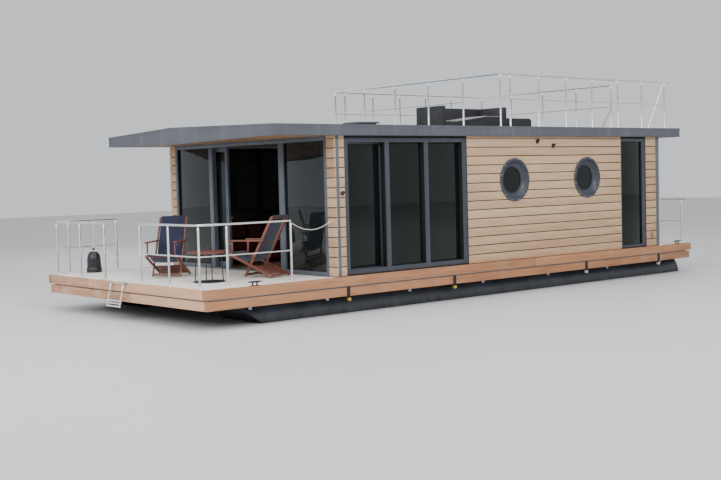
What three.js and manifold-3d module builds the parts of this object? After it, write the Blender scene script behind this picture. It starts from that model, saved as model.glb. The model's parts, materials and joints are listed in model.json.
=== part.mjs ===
// A timber-clad houseboat on two round floats: terrace at the bow, glazed saloon, small aft deck,
// railed sun deck on the roof and an outboard motor behind the stern.
// Millimetres. +X points to the bow, +Y to port, +Z up. The origin is on the floor under the middle
// of the whole boat, so the floats' lowest lines are at z = 0.

import * as THREE from 'three';
import { mergeVertices } from 'three/addons/utils/BufferGeometryUtils.js';
import Module from 'manifold-3d';

const wasm = await Module();
wasm.setup();

// Driving dimensions of the deck and what reaches past it
const DECK_LENGTH = 12200;
const DECK_BEAM = 5000;
const BOW_REACH = 61;
const MOTOR_REACH = 900;
const HALF_LENGTH = (DECK_LENGTH + BOW_REACH + MOTOR_REACH) / 2;
const STERN_X = MOTOR_REACH - HALF_LENGTH;
const BOW_X = STERN_X + DECK_LENGTH;
const HALF_BEAM = DECK_BEAM / 2;
const GAP = 0.3;

// Heights
const FLOAT_RADIUS = 500;
const DECK_Z = 1140;
const DECK_THICK = 28;
const FRAME_HEIGHT = 100;
const WALL_TOP_Z = DECK_Z + 2240;
const ROOF_THICK = 120;
const ROOF_Z = WALL_TOP_Z + ROOF_THICK;
const FASCIA_TOP_Z = ROOF_Z + 50;
const FASCIA_FOOT_Z = WALL_TOP_Z - 6;

// Floats
const FLOAT_Y = 1800;
const FLOAT_STERN = fromStern(140);
const FLOAT_BOW_TOP = fromStern(11650);
const FLOAT_BOW_FOOT = fromStern(10350);
const FLOAT_SIDES = 36;
const ROUND_SIDES = 28;

// Deck edge boards
const UPPER_BOARD = { height: 145, thick: 70 };
const LOWER_BOARD = { height: 140, thick: 45, drop: 310, set: 25 };
const RIM_THICK = 60;
const DECK_EDGE_Y = HALF_BEAM - UPPER_BOARD.thick - GAP;

// Cabin
const WALL_Y = 2440;
const WALL_THICK = 110;
const FRONT_X = fromStern(9690);
const BACK_X = fromStern(1050);
const POST = { long: 210, wide: 190 };
const SALOON_X = [fromStern(6690), fromStern(9480)];
const AFT_WINDOW_X = [fromStern(1480), fromStern(2314)];
const PORTHOLES_X = [fromStern(5470), fromStern(3390)];
const PORTHOLE_Z = DECK_Z + 1452;
const PORTHOLE_RADIUS = 390;
const PORTHOLE_SLEEVE = 369;
const PORTHOLE_GLASS_RADIUS = 235;
const GLASS_THICK = 24;
const REBATE = 5;

// Front wall: the doorway between two fixed bays, and two leaves that slide behind the bays
const FRONT_FRAME = { deep: 90, member: 70, mullion: 110, doorwayHalf: 1005, foot: 70, sill: 22 };
const LEAF = { wide: 1085, thick: 45, stile: 80, rail: 95, behind: 15, foot: 1162, top: 3326 };
const LEAF_EDGE = { port: 830, starboard: -680 };

// Saloon side windows: three bays each
const SALOON = { deep: 70, side: 85, mullion: 100, foot: 75, head: 70, set: 12 };

// Stern wall and its door
const STERN_DOOR = { y: [-430, 430], foot: DECK_Z + 40, top: DECK_Z + 2060, thick: 50, gap: 7 };
const STERN_DOOR_HINGE = { x: BACK_X - 20, y: STERN_DOOR.y[1] - 7 };

// Roof
const ROOF_HALF = HALF_BEAM + 20;
const ROOF_STERN = fromStern(386);
const ROOF_CORNER = fromStern(10920);
const ROOF_APEX = fromStern(11160);
const ROOF_FASCIA_THICK = 40;
const APEX_RISE = 55;
const APEX_DROP = 50;

// Rails
const TUBE = 17;
const DECK_RAIL = { base: DECK_Z, top: 945, mid: 465 };
const ROOF_RAIL_HEIGHTS = { base: ROOF_Z, top: 1020, mid: 555 };
const TUBE_SIDES = 8;

// Eyes that hold the gate ropes: a short peg on a post or on the wall
const EYE = { reach: 34, radius: 9 };
const ROPE_RADIUS = 6;
const GATE_HEIGHT = 880;
const FRONT_GATE_HEIGHT = 465;

function fromStern(x) {
  return STERN_X + x;
}

// Solids

function solid(geometry) {
  const bare = geometry.index ? geometry : geometry.clone();
  bare.deleteAttribute('normal');
  bare.deleteAttribute('uv');
  const merged = mergeVertices(bare, 1e-3);
  return new wasm.Manifold(new wasm.Mesh({
    numProp: 3,
    vertProperties: new Float32Array(merged.attributes.position.array),
    triVerts: new Uint32Array(merged.index.array),
  }));
}

function geometryOf(shape) {
  const mesh = shape.getMesh();
  const geometry = new THREE.BufferGeometry();
  geometry.setAttribute('position', new THREE.BufferAttribute(new Float32Array(mesh.vertProperties), 3));
  geometry.setIndex(new THREE.BufferAttribute(new Uint32Array(mesh.triVerts), 1));
  geometry.computeVertexNormals();
  return geometry;
}

function join(shapes) {
  return shapes.reduce((whole, shape) => whole.add(shape));
}

function cut(shape, tools) {
  return tools.reduce((rest, tool) => rest.subtract(tool), shape);
}

// A box from its lowest to its highest corner
function box([x0, x1], [y0, y1], [z0, z1]) {
  const geometry = new THREE.BoxGeometry(x1 - x0, y1 - y0, z1 - z0);
  geometry.translate((x0 + x1) / 2, (y0 + y1) / 2, (z0 + z1) / 2);
  return solid(geometry);
}

// A round bar between two points
function bar(from, to, radius, sides = TUBE_SIDES, endRadius = radius) {
  const a = new THREE.Vector3(...from);
  const b = new THREE.Vector3(...to);
  const geometry = new THREE.CylinderGeometry(endRadius, radius, a.distanceTo(b), sides);
  geometry.applyQuaternion(new THREE.Quaternion().setFromUnitVectors(
    new THREE.Vector3(0, 1, 0), b.clone().sub(a).normalize(),
  ));
  geometry.translate(...a.add(b).multiplyScalar(0.5).toArray());
  return solid(geometry);
}

// An outline in the XY plane, raised from z0 to z1
function slab(outline, [z0, z1]) {
  const shape = new THREE.Shape(outline.map(([x, y]) => new THREE.Vector2(x, y)));
  const geometry = new THREE.ExtrudeGeometry(shape, { depth: z1 - z0, bevelEnabled: false });
  geometry.translate(0, 0, z0);
  return solid(geometry);
}

// An outline in the XZ plane, pushed from y0 to y1
function plate(outline, [y0, y1]) {
  const shape = new THREE.Shape(outline.map(([x, z]) => new THREE.Vector2(x, z)));
  const geometry = new THREE.ExtrudeGeometry(shape, { depth: y1 - y0, bevelEnabled: false });
  geometry.rotateX(Math.PI / 2);
  geometry.translate(0, y1, 0);
  return solid(geometry);
}

// A rounded run of tube through corner points
function tubeRun(points, radius = TUBE) {
  const spans = [];
  points.slice(1).forEach((to, i) => spans.push(bar(points[i], to, radius)));
  points.slice(1, -1).forEach((corner) => spans.push(ball(corner, radius)));
  return join(spans);
}

function ball(centre, radius, sides = TUBE_SIDES) {
  const geometry = new THREE.SphereGeometry(radius, sides, 4);
  geometry.translate(...centre);
  return solid(geometry);
}

// Materials

function material(color, roughness = 0.6, metalness = 0) {
  return new THREE.MeshStandardMaterial({ color, roughness, metalness });
}

const MATERIALS = {
  float: () => material(0x22262b, 0.45),
  steel: () => material(0x8d9296, 0.45, 0.8),
  stainless: () => material(0xd5d8da, 0.25, 1),
  fasciaWood: () => material(0xb98058, 0.65),
  deckBoard: () => material(0xd9d4ca, 0.75),
  floorBoard: () => material(0x9a7c5b, 0.6),
  cladding: () => material(0xc9a37c, 0.7),
  darkFrame: () => material(0x3b434b, 0.4, 0.3),
  glass: () => material(0x1d2624, 0.08),
  roofing: () => material(0x4d5864, 0.5),
  soffit: () => material(0xa07a52, 0.6),
  rattan: () => material(0x3a3230, 0.8),
  teak: () => material(0x9a4f2c, 0.55),
  blackMetal: () => material(0x1c1d1f, 0.5, 0.6),
  motor: () => material(0x2a2d31, 0.35),
  inside: () => material(0xe6e1d8, 0.7),
  sofa: () => material(0x5c1f1c, 0.5),
  fender: () => material(0x17191c, 0.5),
  rope: () => material(0xd8d6cf, 0.8),
};

const boat = new THREE.Group();

function add(name, shape, kind) {
  const mesh = new THREE.Mesh(geometryOf(shape), MATERIALS[kind]());
  mesh.name = name;
  boat.add(mesh);
}

// Port and starboard: y is mirrored by the sign
const SIDES = [['port', 1], ['starboard', -1]];

function span(a, b) {
  return [Math.min(a, b), Math.max(a, b)];
}

function wider([low, high], by) {
  return [low - by, high + by];
}

// Floats: round pipes whose bow ends are cut on a long rake

function makeFloats() {
  for (const [side, sign] of SIDES) {
    const y = sign * FLOAT_Y;
    const ends = [FLOAT_STERN, FLOAT_BOW_TOP + 10].map((x) => [x, y, FLOAT_RADIUS]);
    const pipe = bar(...ends, FLOAT_RADIUS, FLOAT_SIDES);
    const rake = plate([
      [FLOAT_BOW_TOP, 2 * FLOAT_RADIUS + 1],
      [FLOAT_BOW_TOP + 50, 2 * FLOAT_RADIUS + 1],
      [FLOAT_BOW_TOP + 50, -1],
      [FLOAT_BOW_FOOT, -1],
    ], [y - FLOAT_RADIUS - 1, y + FLOAT_RADIUS + 1]);
    add(`float_${side}`, pipe.subtract(rake), 'float');
  }
}

// Saddles between the floats and the cross beams
const SADDLE = { long: 60, half: 430, foot: 740 };
const SADDLES_X = [700, 2500, 4300, 6100, 7900, 9700, 11200].map(fromStern);
const FRAME_Z = [DECK_Z - DECK_THICK - GAP - FRAME_HEIGHT, DECK_Z - DECK_THICK - GAP];

function saddle(x, y) {
  const block = box([x, x + SADDLE.long], [y - SADDLE.half, y + SADDLE.half], [SADDLE.foot, FRAME_Z[0] + 1]);
  const ends = [x - 5, x + SADDLE.long + 5].map((at) => [at, y, FLOAT_RADIUS]);
  const pipe = bar(...ends, FLOAT_RADIUS + 2, FLOAT_SIDES);
  return block.subtract(pipe);
}

// Deck frame and boards

const RIM_Y = HALF_BEAM - UPPER_BOARD.thick - GAP;
const RIM_BOW = BOW_X - UPPER_BOARD.thick - GAP;
const RIM_STERN = STERN_X + UPPER_BOARD.thick + GAP;
const RIM_FOOT = DECK_Z - LOWER_BOARD.drop + 10;
const STRINGERS_Y = [-1250, 0, 1250];

function frameRing(outer, thick, heights) {
  const [[x0, x1], [y0, y1]] = outer;
  const hole = box([x0 + thick, x1 - thick], [y0 + thick, y1 - thick], [heights[0] - 1, heights[1] + 1]);
  return box([x0, x1], [y0, y1], heights).subtract(hole);
}

function makeUnderframe() {
  const beams = SADDLES_X.map((x) => box([x, x + SADDLE.long], [-RIM_Y + 10, RIM_Y - 10], FRAME_Z));
  const stringers = STRINGERS_Y.map((y) => box([RIM_STERN + 10, RIM_BOW - 10], [y - 30, y + 30], FRAME_Z));
  const rim = frameRing([[RIM_STERN, RIM_BOW], [-RIM_Y, RIM_Y]], RIM_THICK, [RIM_FOOT, FRAME_Z[1]]);
  const saddles = SADDLES_X.flatMap((x) => SIDES.map(([, sign]) => saddle(x, sign * FLOAT_Y)));
  add('underframe', join([...beams, ...stringers, rim, ...saddles]), 'steel');
}

// Mooring cleats stand on the upper edge board near the deck's corners
const CLEAT_Y = HALF_BEAM - UPPER_BOARD.thick / 2;
const CLEATS = [BOW_X - 900, STERN_X + 450].flatMap((x) => [[x, CLEAT_Y], [x, -CLEAT_Y]]);

function cleat([x, y]) {
  return join([
    box([x - 80, x + 80], [y - 30, y + 30], [DECK_Z - 1, DECK_Z + 8]),
    ...[-40, 40].map((dx) => bar([x + dx, y, DECK_Z + 5], [x + dx, y, DECK_Z + 55], 14, 10)),
    bar([x - 130, y, DECK_Z + 60], [x + 130, y, DECK_Z + 60], 14, 10),
  ]);
}

// Lugs that carry the bow ladder's hinge bar
const LUG = { y: 221, thick: 12, reach: 46, back: 1, z: [DECK_Z - 45, DECK_Z + 8] };

function lug(sign) {
  return box([BOW_X - LUG.back, BOW_X + LUG.reach], span(sign * LUG.y, sign * (LUG.y + LUG.thick)), LUG.z);
}

function makeFascias() {
  const upper = frameRing([[STERN_X, BOW_X], [-HALF_BEAM, HALF_BEAM]], UPPER_BOARD.thick,
    [DECK_Z - UPPER_BOARD.height, DECK_Z]);
  add('fascia_upper', join([upper, ...CLEATS.map(cleat), lug(1), lug(-1)]), 'fasciaWood');
  const set = LOWER_BOARD.set;
  const foot = DECK_Z - LOWER_BOARD.drop;
  const setIn = [[STERN_X + set, BOW_X - set], [-HALF_BEAM + set, HALF_BEAM - set]];
  const lower = frameRing(setIn, LOWER_BOARD.thick, [foot, foot + LOWER_BOARD.height]);
  add('fascia_lower', lower, 'fasciaWood');
}

function makeDecks() {
  const heights = [DECK_Z - DECK_THICK, DECK_Z];
  const wide = [-DECK_EDGE_Y, DECK_EDGE_Y];
  add('fore_deck', box([FRONT_X + 10, RIM_BOW], wide, heights), 'deckBoard');
  add('cabin_floor', box([BACK_X - 10 + GAP, FRONT_X + 10 - GAP], wide, heights), 'floorBoard');
  add('aft_deck', box([RIM_STERN, BACK_X - 10], wide, heights), 'deckBoard');
}

// Cabin walls

const GATE_Y = 2340;

// A peg along X, from inside what carries it to its tip
function eye([x, y, z], way) {
  return bar([x - way * 4, y, z], [x + way * EYE.reach, y, z], EYE.radius, 6);
}

const WALL_Z = [DECK_Z + GAP, WALL_TOP_Z - GAP];
const OPENING_Z = [WALL_Z[0] + 18, WALL_Z[1] - 40];
const FRAME_Z_SPAN = [OPENING_Z[0] + GAP, OPENING_Z[1] - GAP];

// Floor track and head guide of the sliding saloon leaf, on the inside of the port wall
const TRACK_Y = [WALL_Y - WALL_THICK - 68, WALL_Y - WALL_THICK + 1];
const SALOON_TRACKS = [[WALL_Z[0], WALL_Z[0] + 14], [LEAF.top + 8, WALL_Z[1]]];

function makeSideWalls() {
  for (const [side, sign] of SIDES) {
    const y = span(sign * WALL_Y, sign * (WALL_Y - WALL_THICK));
    const postY = span(sign * WALL_Y, sign * (WALL_Y - POST.wide));
    const wall = join([
      box([BACK_X, FRONT_X], y, WALL_Z),
      box([FRONT_X - POST.long, FRONT_X], postY, WALL_Z),
      box([BACK_X, BACK_X + POST.long], postY, WALL_Z),
    ]);
    const through = [y[0] - 5, y[1] + 5];
    const windows = [SALOON_X, AFT_WINDOW_X].map((x) => box(x, through, OPENING_Z));
    const holes = PORTHOLES_X.map((x) => bar([x, through[0], PORTHOLE_Z], [x, through[1], PORTHOLE_Z],
      PORTHOLE_SLEEVE + 1, ROUND_SIDES));
    const tracks = (side === 'port' ? SALOON_TRACKS : []).map((z) => box(SALOON_X, TRACK_Y, z));
    const eyeAt = (x) => [x, sign * GATE_Y, DECK_Z + GATE_HEIGHT];
    const eyes = [eye(eyeAt(FRONT_X), 1), eye(eyeAt(BACK_X), -1)];
    add(`wall_${side}`, join([cut(wall, [...windows, ...holes]), ...tracks, ...eyes]), 'cladding');
  }
}

// A porthole is a flange on the cladding and a deep cone that narrows to the glass
function portholeRing(x, sign) {
  const outer = sign * (WALL_Y + 22);
  const face = sign * (WALL_Y + GAP);
  const inner = sign * (WALL_Y - 95);
  const flange = bar([x, face, PORTHOLE_Z], [x, outer, PORTHOLE_Z], PORTHOLE_RADIUS, ROUND_SIDES);
  const tip = [x, sign * (WALL_Y + 5), PORTHOLE_Z];
  const sleeve = bar([x, inner, PORTHOLE_Z], tip, PORTHOLE_SLEEVE, ROUND_SIDES);
  const cone = bar([x, inner + sign * 30, PORTHOLE_Z], [x, outer + sign * 1, PORTHOLE_Z],
    PORTHOLE_GLASS_RADIUS, ROUND_SIDES, PORTHOLE_RADIUS - 45);
  const throat = bar([x, inner - sign * 5, PORTHOLE_Z], [x, inner + sign * 35, PORTHOLE_Z],
    PORTHOLE_GLASS_RADIUS, ROUND_SIDES);
  return cut(join([flange, sleeve]), [cone, throat]);
}

function makePortholes() {
  for (const [side, sign] of SIDES) {
    PORTHOLES_X.forEach((x, i) => {
      const faces = [WALL_Y - 95, WALL_Y - 95 + GLASS_THICK].map((y) => [x, sign * y, PORTHOLE_Z]);
      const pane = bar(...faces, PORTHOLE_GLASS_RADIUS + REBATE, ROUND_SIDES);
      add(`porthole_${side}_${i + 1}`, join([portholeRing(x, sign), pane]), 'darkFrame');
    });
  }
}

function makeSternWall() {
  const x = [BACK_X, BACK_X + WALL_THICK];
  const wall = box(x, [-WALL_Y + POST.wide + GAP, WALL_Y - POST.wide - GAP], WALL_Z);
  const doorway = box([x[0] - 5, x[1] + 5], STERN_DOOR.y, [STERN_DOOR.foot, STERN_DOOR.top]);
  add('wall_stern', wall.subtract(doorway), 'cladding');
  const g = STERN_DOOR.gap;
  const leafX = [BACK_X, BACK_X + STERN_DOOR.thick];
  const leafY = [STERN_DOOR.y[0] + g, STERN_DOOR.y[1] - g];
  const leaf = box(leafX, leafY, [STERN_DOOR.foot + g, STERN_DOOR.top - g]);
  const light = [[leafY[0] + 130, leafY[1] - 130], [STERN_DOOR.foot + 950, STERN_DOOR.top - 160]];
  const hole = box([leafX[0] - 5, leafX[1] + 5], ...light);
  const { x: hingeX, y: hingeY } = STERN_DOOR_HINGE;
  const hinges = [300, 1000, 1750].flatMap((z) => {
    const foot = STERN_DOOR.foot + z;
    return [
      bar([hingeX, hingeY, foot], [hingeX, hingeY, foot + 100], 14),
      box([hingeX - 4, BACK_X + 2], [hingeY - 90, hingeY - 5], [foot + 10, foot + 90]),
    ];
  });
  const handle = join([
    box([BACK_X - 60, BACK_X - 48], [leafY[0] + 40, leafY[0] + 180], [DECK_Z + 1040, DECK_Z + 1065]),
    box([BACK_X - 55, BACK_X + 5], [leafY[0] + 40, leafY[0] + 65], [DECK_Z + 1040, DECK_Z + 1065]),
  ]);
  add('stern_door', join([leaf.subtract(hole), ...hinges, handle]), 'darkFrame');
}

// Side windows: a frame in the wall's opening, with bays between mullions

// Frame of bays along X. Returns the frame and the clear bays as [x0, x1]
function bayFrame(x, y, z, member, mullions) {
  const frame = box(x, y, z);
  const mullionEdges = mullions.flatMap((m) => [m - member.mullion / 2, m + member.mullion / 2]);
  const edges = [x[0] + member.low, ...mullionEdges, x[1] - member.high];
  const bays = [];
  for (let i = 0; i < edges.length; i += 2) {
    bays.push([edges[i], edges[i + 1]]);
  }
  const clear = [z[0] + member.foot, z[1] - member.head];
  const holes = bays.map((bay) => box(bay, [y[0] - 5, y[1] + 5], clear));
  return { frame: cut(frame, holes), bays, clear };
}

const SALOON_MULLIONS = [fromStern(7668), fromStern(8555)];

function makeSaloonWindows() {
  const { side: low, mullion, foot, head } = SALOON;
  const member = { low: low + 30, high: low, mullion, foot, head };
  for (const [side, sign] of SIDES) {
    const y = span(sign * (WALL_Y - SALOON.set), sign * (WALL_Y - SALOON.set - SALOON.deep));
    const x = [SALOON_X[0] + GAP, SALOON_X[1] - GAP];
    const { frame, bays, clear } = bayFrame(x, y, FRAME_Z_SPAN, member, SALOON_MULLIONS);
    add(`saloon_frame_${side}`, frame, 'darkFrame');
    const behind = WALL_Y - SALOON.set - SALOON.deep - GAP;
    const paneY = span(sign * behind, sign * (behind - GLASS_THICK));
    const foremost = side === 'port' ? bays[1][1] + 40 : bays[2][1] + 40;
    const pane = box([bays[0][0] - 40, foremost], paneY, [clear[0] - 30, clear[1] + 30]);
    add(`saloon_glass_${side}`, pane, 'glass');
  }
}

// The foremost port bay is closed by a leaf that slides aft on the inside
const SALOON_LEAF = { x: [fromStern(8560), fromStern(9462)], thick: 40, behind: 44, stile: 70, rail: 80 };
const SALOON_LEAF_Y = [
  WALL_Y - SALOON.set - SALOON.deep - SALOON_LEAF.behind - SALOON_LEAF.thick,
  WALL_Y - SALOON.set - SALOON.deep - SALOON_LEAF.behind,
];
const LEAF_Z = [LEAF.foot, LEAF.top];

function makeSaloonLeaf() {
  const { x, stile, rail } = SALOON_LEAF;
  const light = [[x[0] + stile, x[1] - stile], [LEAF_Z[0] + rail, LEAF_Z[1] - rail]];
  const leaf = box(x, SALOON_LEAF_Y, LEAF_Z);
  const hole = box(light[0], [SALOON_LEAF_Y[0] - 5, SALOON_LEAF_Y[1] + 5], light[1]);
  const paneY = [SALOON_LEAF_Y[0] + 8, SALOON_LEAF_Y[0] + 8 + GLASS_THICK];
  const pane = box(wider(light[0], REBATE), paneY, wider(light[1], REBATE));
  add('saloon_leaf', join([leaf.subtract(hole), pane]), 'darkFrame');
}

function makeAftWindows() {
  const member = { low: 130, high: 40, mullion: 0, foot: 50, head: 60 };
  for (const [side, sign] of SIDES) {
    const y = span(sign * (WALL_Y - SALOON.set), sign * (WALL_Y - SALOON.set - SALOON.deep));
    const x = [AFT_WINDOW_X[0] + GAP, AFT_WINDOW_X[1] - GAP];
    const { frame, bays, clear } = bayFrame(x, y, FRAME_Z_SPAN, member, []);
    const paneFace = WALL_Y - SALOON.set - 25;
    const paneY = span(sign * paneFace, sign * (paneFace - GLASS_THICK));
    const pane = box(wider(bays[0], REBATE), paneY, wider(clear, REBATE));
    add(`aft_window_${side}`, join([frame, pane]), 'darkFrame');
  }
}

// Front wall

const FRONT_HALF = WALL_Y - POST.wide - GAP;
const FRONT_FRAME_X = [FRONT_X - FRONT_FRAME.deep, FRONT_X];
const LEAF_X = [FRONT_FRAME_X[0] - LEAF.behind - LEAF.thick, FRONT_FRAME_X[0] - LEAF.behind];

function makeFrontWall() {
  const { member, mullion, doorwayHalf, foot, sill } = FRONT_FRAME;
  const whole = box(FRONT_FRAME_X, [-FRONT_HALF, FRONT_HALF], WALL_Z);
  const across = [FRONT_FRAME_X[0] - 5, FRONT_FRAME_X[1] + 5];
  const bay = { y: [doorwayHalf + mullion, FRONT_HALF - member], z: [WALL_Z[0] + foot, WALL_Z[1] - member] };
  const doorway = box(across, [-doorwayHalf, doorwayHalf], [WALL_Z[0] + sill, WALL_Z[1] - member]);
  const holes = SIDES.map(([, sign]) => box(across, span(sign * bay.y[0], sign * bay.y[1]), bay.z));
  const tracks = [
    box([LEAF_X[0] - 10, FRONT_FRAME_X[0] + 1], [-FRONT_HALF, FRONT_HALF], [WALL_Z[0], WALL_Z[0] + 14]),
    box([LEAF_X[0] - 10, FRONT_FRAME_X[0] + 1], [-FRONT_HALF, FRONT_HALF], [LEAF.top + 8, WALL_Z[1]]),
  ];
  add('front_frame', join([cut(whole, [doorway, ...holes]), ...tracks]), 'darkFrame');
  const paneX = [FRONT_X - 50, FRONT_X - 50 + GLASS_THICK];
  for (const [side, sign] of SIDES) {
    const paneY = span(sign * (bay.y[0] + GAP), sign * (bay.y[1] - GAP));
    const fixed = box(paneX, paneY, [bay.z[0] + GAP, bay.z[1] - GAP]);
    add(`front_glass_${side}`, fixed, 'glass');
    const near = LEAF_EDGE[side];
    const y = span(near, near + sign * LEAF.wide);
    const light = [[y[0] + LEAF.stile, y[1] - LEAF.stile], [LEAF_Z[0] + LEAF.rail, LEAF_Z[1] - LEAF.rail]];
    const leaf = box(LEAF_X, y, LEAF_Z);
    const hole = box([LEAF_X[0] - 5, LEAF_X[1] + 5], ...light);
    const leafPaneX = [LEAF_X[0] + 10, LEAF_X[0] + 10 + GLASS_THICK];
    const pane = box(leafPaneX, wider(light[0], REBATE), wider(light[1], REBATE));
    add(`front_leaf_${side}`, join([leaf.subtract(hole), pane]), 'darkFrame');
  }
}

// Roof

function roofOutline(half, stern, corner, apex) {
  return [[stern, -half], [corner, -half], [apex, 0], [corner, half], [stern, half]];
}

const ROOF_CORE = { half: ROOF_HALF - ROOF_FASCIA_THICK - GAP, stern: ROOF_STERN + ROOF_FASCIA_THICK + GAP };
const CORE_CORNER = ROOF_CORNER - ROOF_FASCIA_THICK - GAP;
const CORE_APEX = ROOF_APEX - ROOF_FASCIA_THICK - GAP;

function makeRoof() {
  const core = roofOutline(ROOF_CORE.half, ROOF_CORE.stern, CORE_CORNER, CORE_APEX);
  add('roof_slab', slab(core, [WALL_TOP_Z + 20, ROOF_Z]), 'roofing');
  const lining = roofOutline(ROOF_CORE.half, ROOF_CORE.stern, CORE_CORNER, CORE_APEX);
  add('roof_soffit', slab(lining, [WALL_TOP_Z, WALL_TOP_Z + 20 - GAP]), 'soffit');
  const edge = roofOutline(ROOF_HALF, ROOF_STERN, ROOF_CORNER, ROOF_APEX);
  const outer = slab(edge, [FASCIA_FOOT_Z, FASCIA_TOP_Z]);
  const inner = slab(roofOutline(ROOF_HALF - ROOF_FASCIA_THICK, ROOF_STERN + ROOF_FASCIA_THICK,
    ROOF_CORNER - ROOF_FASCIA_THICK, ROOF_APEX - ROOF_FASCIA_THICK), [FASCIA_FOOT_Z - 90, FASCIA_TOP_Z + 90]);
  add('roof_fascia', join([outer, prow()]).subtract(inner), 'roofing');
}

// The front fascia grows towards its point, up and down: a sheet that is thickest on the centre line
function prow() {
  const halves = SIDES.map(([, sign]) => {
    const face = [
      [0, FASCIA_FOOT_Z - APEX_DROP],
      [0, FASCIA_TOP_Z + APEX_RISE],
      [ROOF_HALF, FASCIA_TOP_Z],
      [ROOF_HALF, FASCIA_FOOT_Z],
    ];
    const shape = new THREE.Shape(face.map(([y, z]) => new THREE.Vector2(sign * y, z)));
    const depth = ROOF_APEX - ROOF_CORNER + 60;
    const geometry = new THREE.ExtrudeGeometry(shape, { depth, bevelEnabled: false });
    geometry.rotateX(Math.PI / 2);
    geometry.rotateZ(Math.PI / 2);
    geometry.translate(ROOF_CORNER - 60, 0, 0);
    return solid(geometry);
  });
  const plan = slab(roofOutline(ROOF_HALF, ROOF_CORNER - 59, ROOF_CORNER, ROOF_APEX),
    [FASCIA_FOOT_Z - APEX_DROP - 5, FASCIA_TOP_Z + APEX_RISE + 5]);
  return join(halves).intersect(plan);
}

const HATCH = { x: [fromStern(7230), fromStern(7630)], y: [300, 700], high: 220 };

function makeHatch() {
  const curb = box(HATCH.x, HATCH.y, [ROOF_Z + GAP, ROOF_Z + HATCH.high - 40]);
  const lid = box([HATCH.x[0] - 40, HATCH.x[1] + 40], [HATCH.y[0] - 40, HATCH.y[1] + 40],
    [ROOF_Z + HATCH.high - 45, ROOF_Z + HATCH.high]);
  add('roof_hatch', join([curb, lid]), 'blackMetal');
}

// A woven day bed on the sun deck. It faces port between a back and two arms, its seat rises to a head
// end at the stern, and a stool stands behind the stern arm.
const LOUNGE = {
  x: [fromStern(2156), fromStern(4140)],
  y: [-1500, -700],
  wall: 100,
  back: 660,
  seat: { low: 360, high: 475, rise: [fromStern(3680), fromStern(2760)], set: 20 },
  stool: { long: 880, y: [-1450, -750], high: 430 },
};

function makeLounge() {
  const z = ROOF_Z + GAP;
  const [x0, x1] = LOUNGE.x;
  const [y0, y1] = LOUNGE.y;
  const { wall, back, seat, stool } = LOUNGE;
  const slope = [[seat.rise[0], seat.low], [seat.rise[1], seat.high]];
  const side = [[x0, 0], [x1, 0], [x1, seat.low], ...slope, [x0, seat.high]];
  const seatShape = new THREE.Shape(side.map(([x, high]) => new THREE.Vector2(x, z + high)));
  const seatDepth = y1 - seat.set - y0;
  const seatGeometry = new THREE.ExtrudeGeometry(seatShape, { depth: seatDepth, bevelEnabled: false });
  seatGeometry.rotateX(Math.PI / 2);
  seatGeometry.translate(0, y0 + seatDepth, 0);
  add('roof_lounge', join([
    box([x0, x1], [y0, y0 + wall], [z, z + back]),
    box([x0, x0 + wall], [y0, y1], [z, z + back]),
    box([x1 - wall, x1], [y0, y1], [z, z + back]),
    solid(seatGeometry),
    box([x0 - stool.long, x0 + GAP], stool.y, [z, z + stool.high]),
  ]), 'rattan');
}

// Rails: posts, a top rail and a middle rail of the same tube

// line holds the rail's end points in plan, posts the points that stand on the base
function railing(line, posts, { base, top, mid }, extra = []) {
  const topZ = base + top - TUBE;
  const hand = tubeRun(line.map(([x, y]) => [x, y, topZ]));
  const inner = [posts[0], ...line.slice(1, -1), posts[posts.length - 1]];
  const middle = tubeRun(inner.map(([x, y]) => [x, y, base + mid]), TUBE * 0.6);
  const uprights = posts.map(([x, y]) => bar([x, y, base + GAP], [x, y, topZ], TUBE));
  const feet = posts.map(([x, y]) => bar([x, y, base + GAP], [x, y, base + 14], 42));
  return join([hand, middle, ...uprights, ...feet, ...extra]);
}

// Each terrace rail runs from the front gate around its corner and aft along the side
const TERRACE_RAIL = {
  x: BOW_X - 110,
  port: { y: 2200, front: [1360, 520], side: [fromStern(11595), fromStern(10400)] },
  starboard: { y: 2350, front: [1490, 640], side: [fromStern(11870), fromStern(10925)] },
};
const STERN_RAIL = { x: STERN_X + 100, y: [GATE_Y, 1500, 680] };

// Slack ropes across the gaps in the rails, from eye to eye
const ROPE_STEP = 36;
const ROPE_END_GAP = 3.9;
const FENDER = { x: fromStern(11435), y: -2270, high: 440 };
const ROPES = [
  {
    name: 'gate_rope_front',
    from: [TERRACE_RAIL.x, -TERRACE_RAIL.starboard.front[1] + EYE.reach, DECK_Z + FRONT_GATE_HEIGHT],
    to: [TERRACE_RAIL.x, TERRACE_RAIL.port.front[1] - EYE.reach, DECK_Z + FRONT_GATE_HEIGHT],
    sag: 100,
  },
  {
    name: 'gate_rope_side',
    from: [TERRACE_RAIL.port.side[1] - EYE.reach, TERRACE_RAIL.port.y, DECK_Z + GATE_HEIGHT],
    to: [FRONT_X + EYE.reach, GATE_Y, DECK_Z + GATE_HEIGHT],
    sag: 110,
  },
  {
    name: 'gate_rope_stern',
    from: [STERN_RAIL.x + EYE.reach, GATE_Y, DECK_Z + GATE_HEIGHT],
    to: [BACK_X - EYE.reach, GATE_Y, DECK_Z + GATE_HEIGHT],
    sag: 130,
  },
  {
    name: 'fender_line',
    from: [FENDER.x - 60, -TERRACE_RAIL.starboard.y, DECK_Z + DECK_RAIL.top - 2 * TUBE],
    to: [FENDER.x, FENDER.y, DECK_Z + GAP + FENDER.high],
    sag: 12,
  },
];

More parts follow.
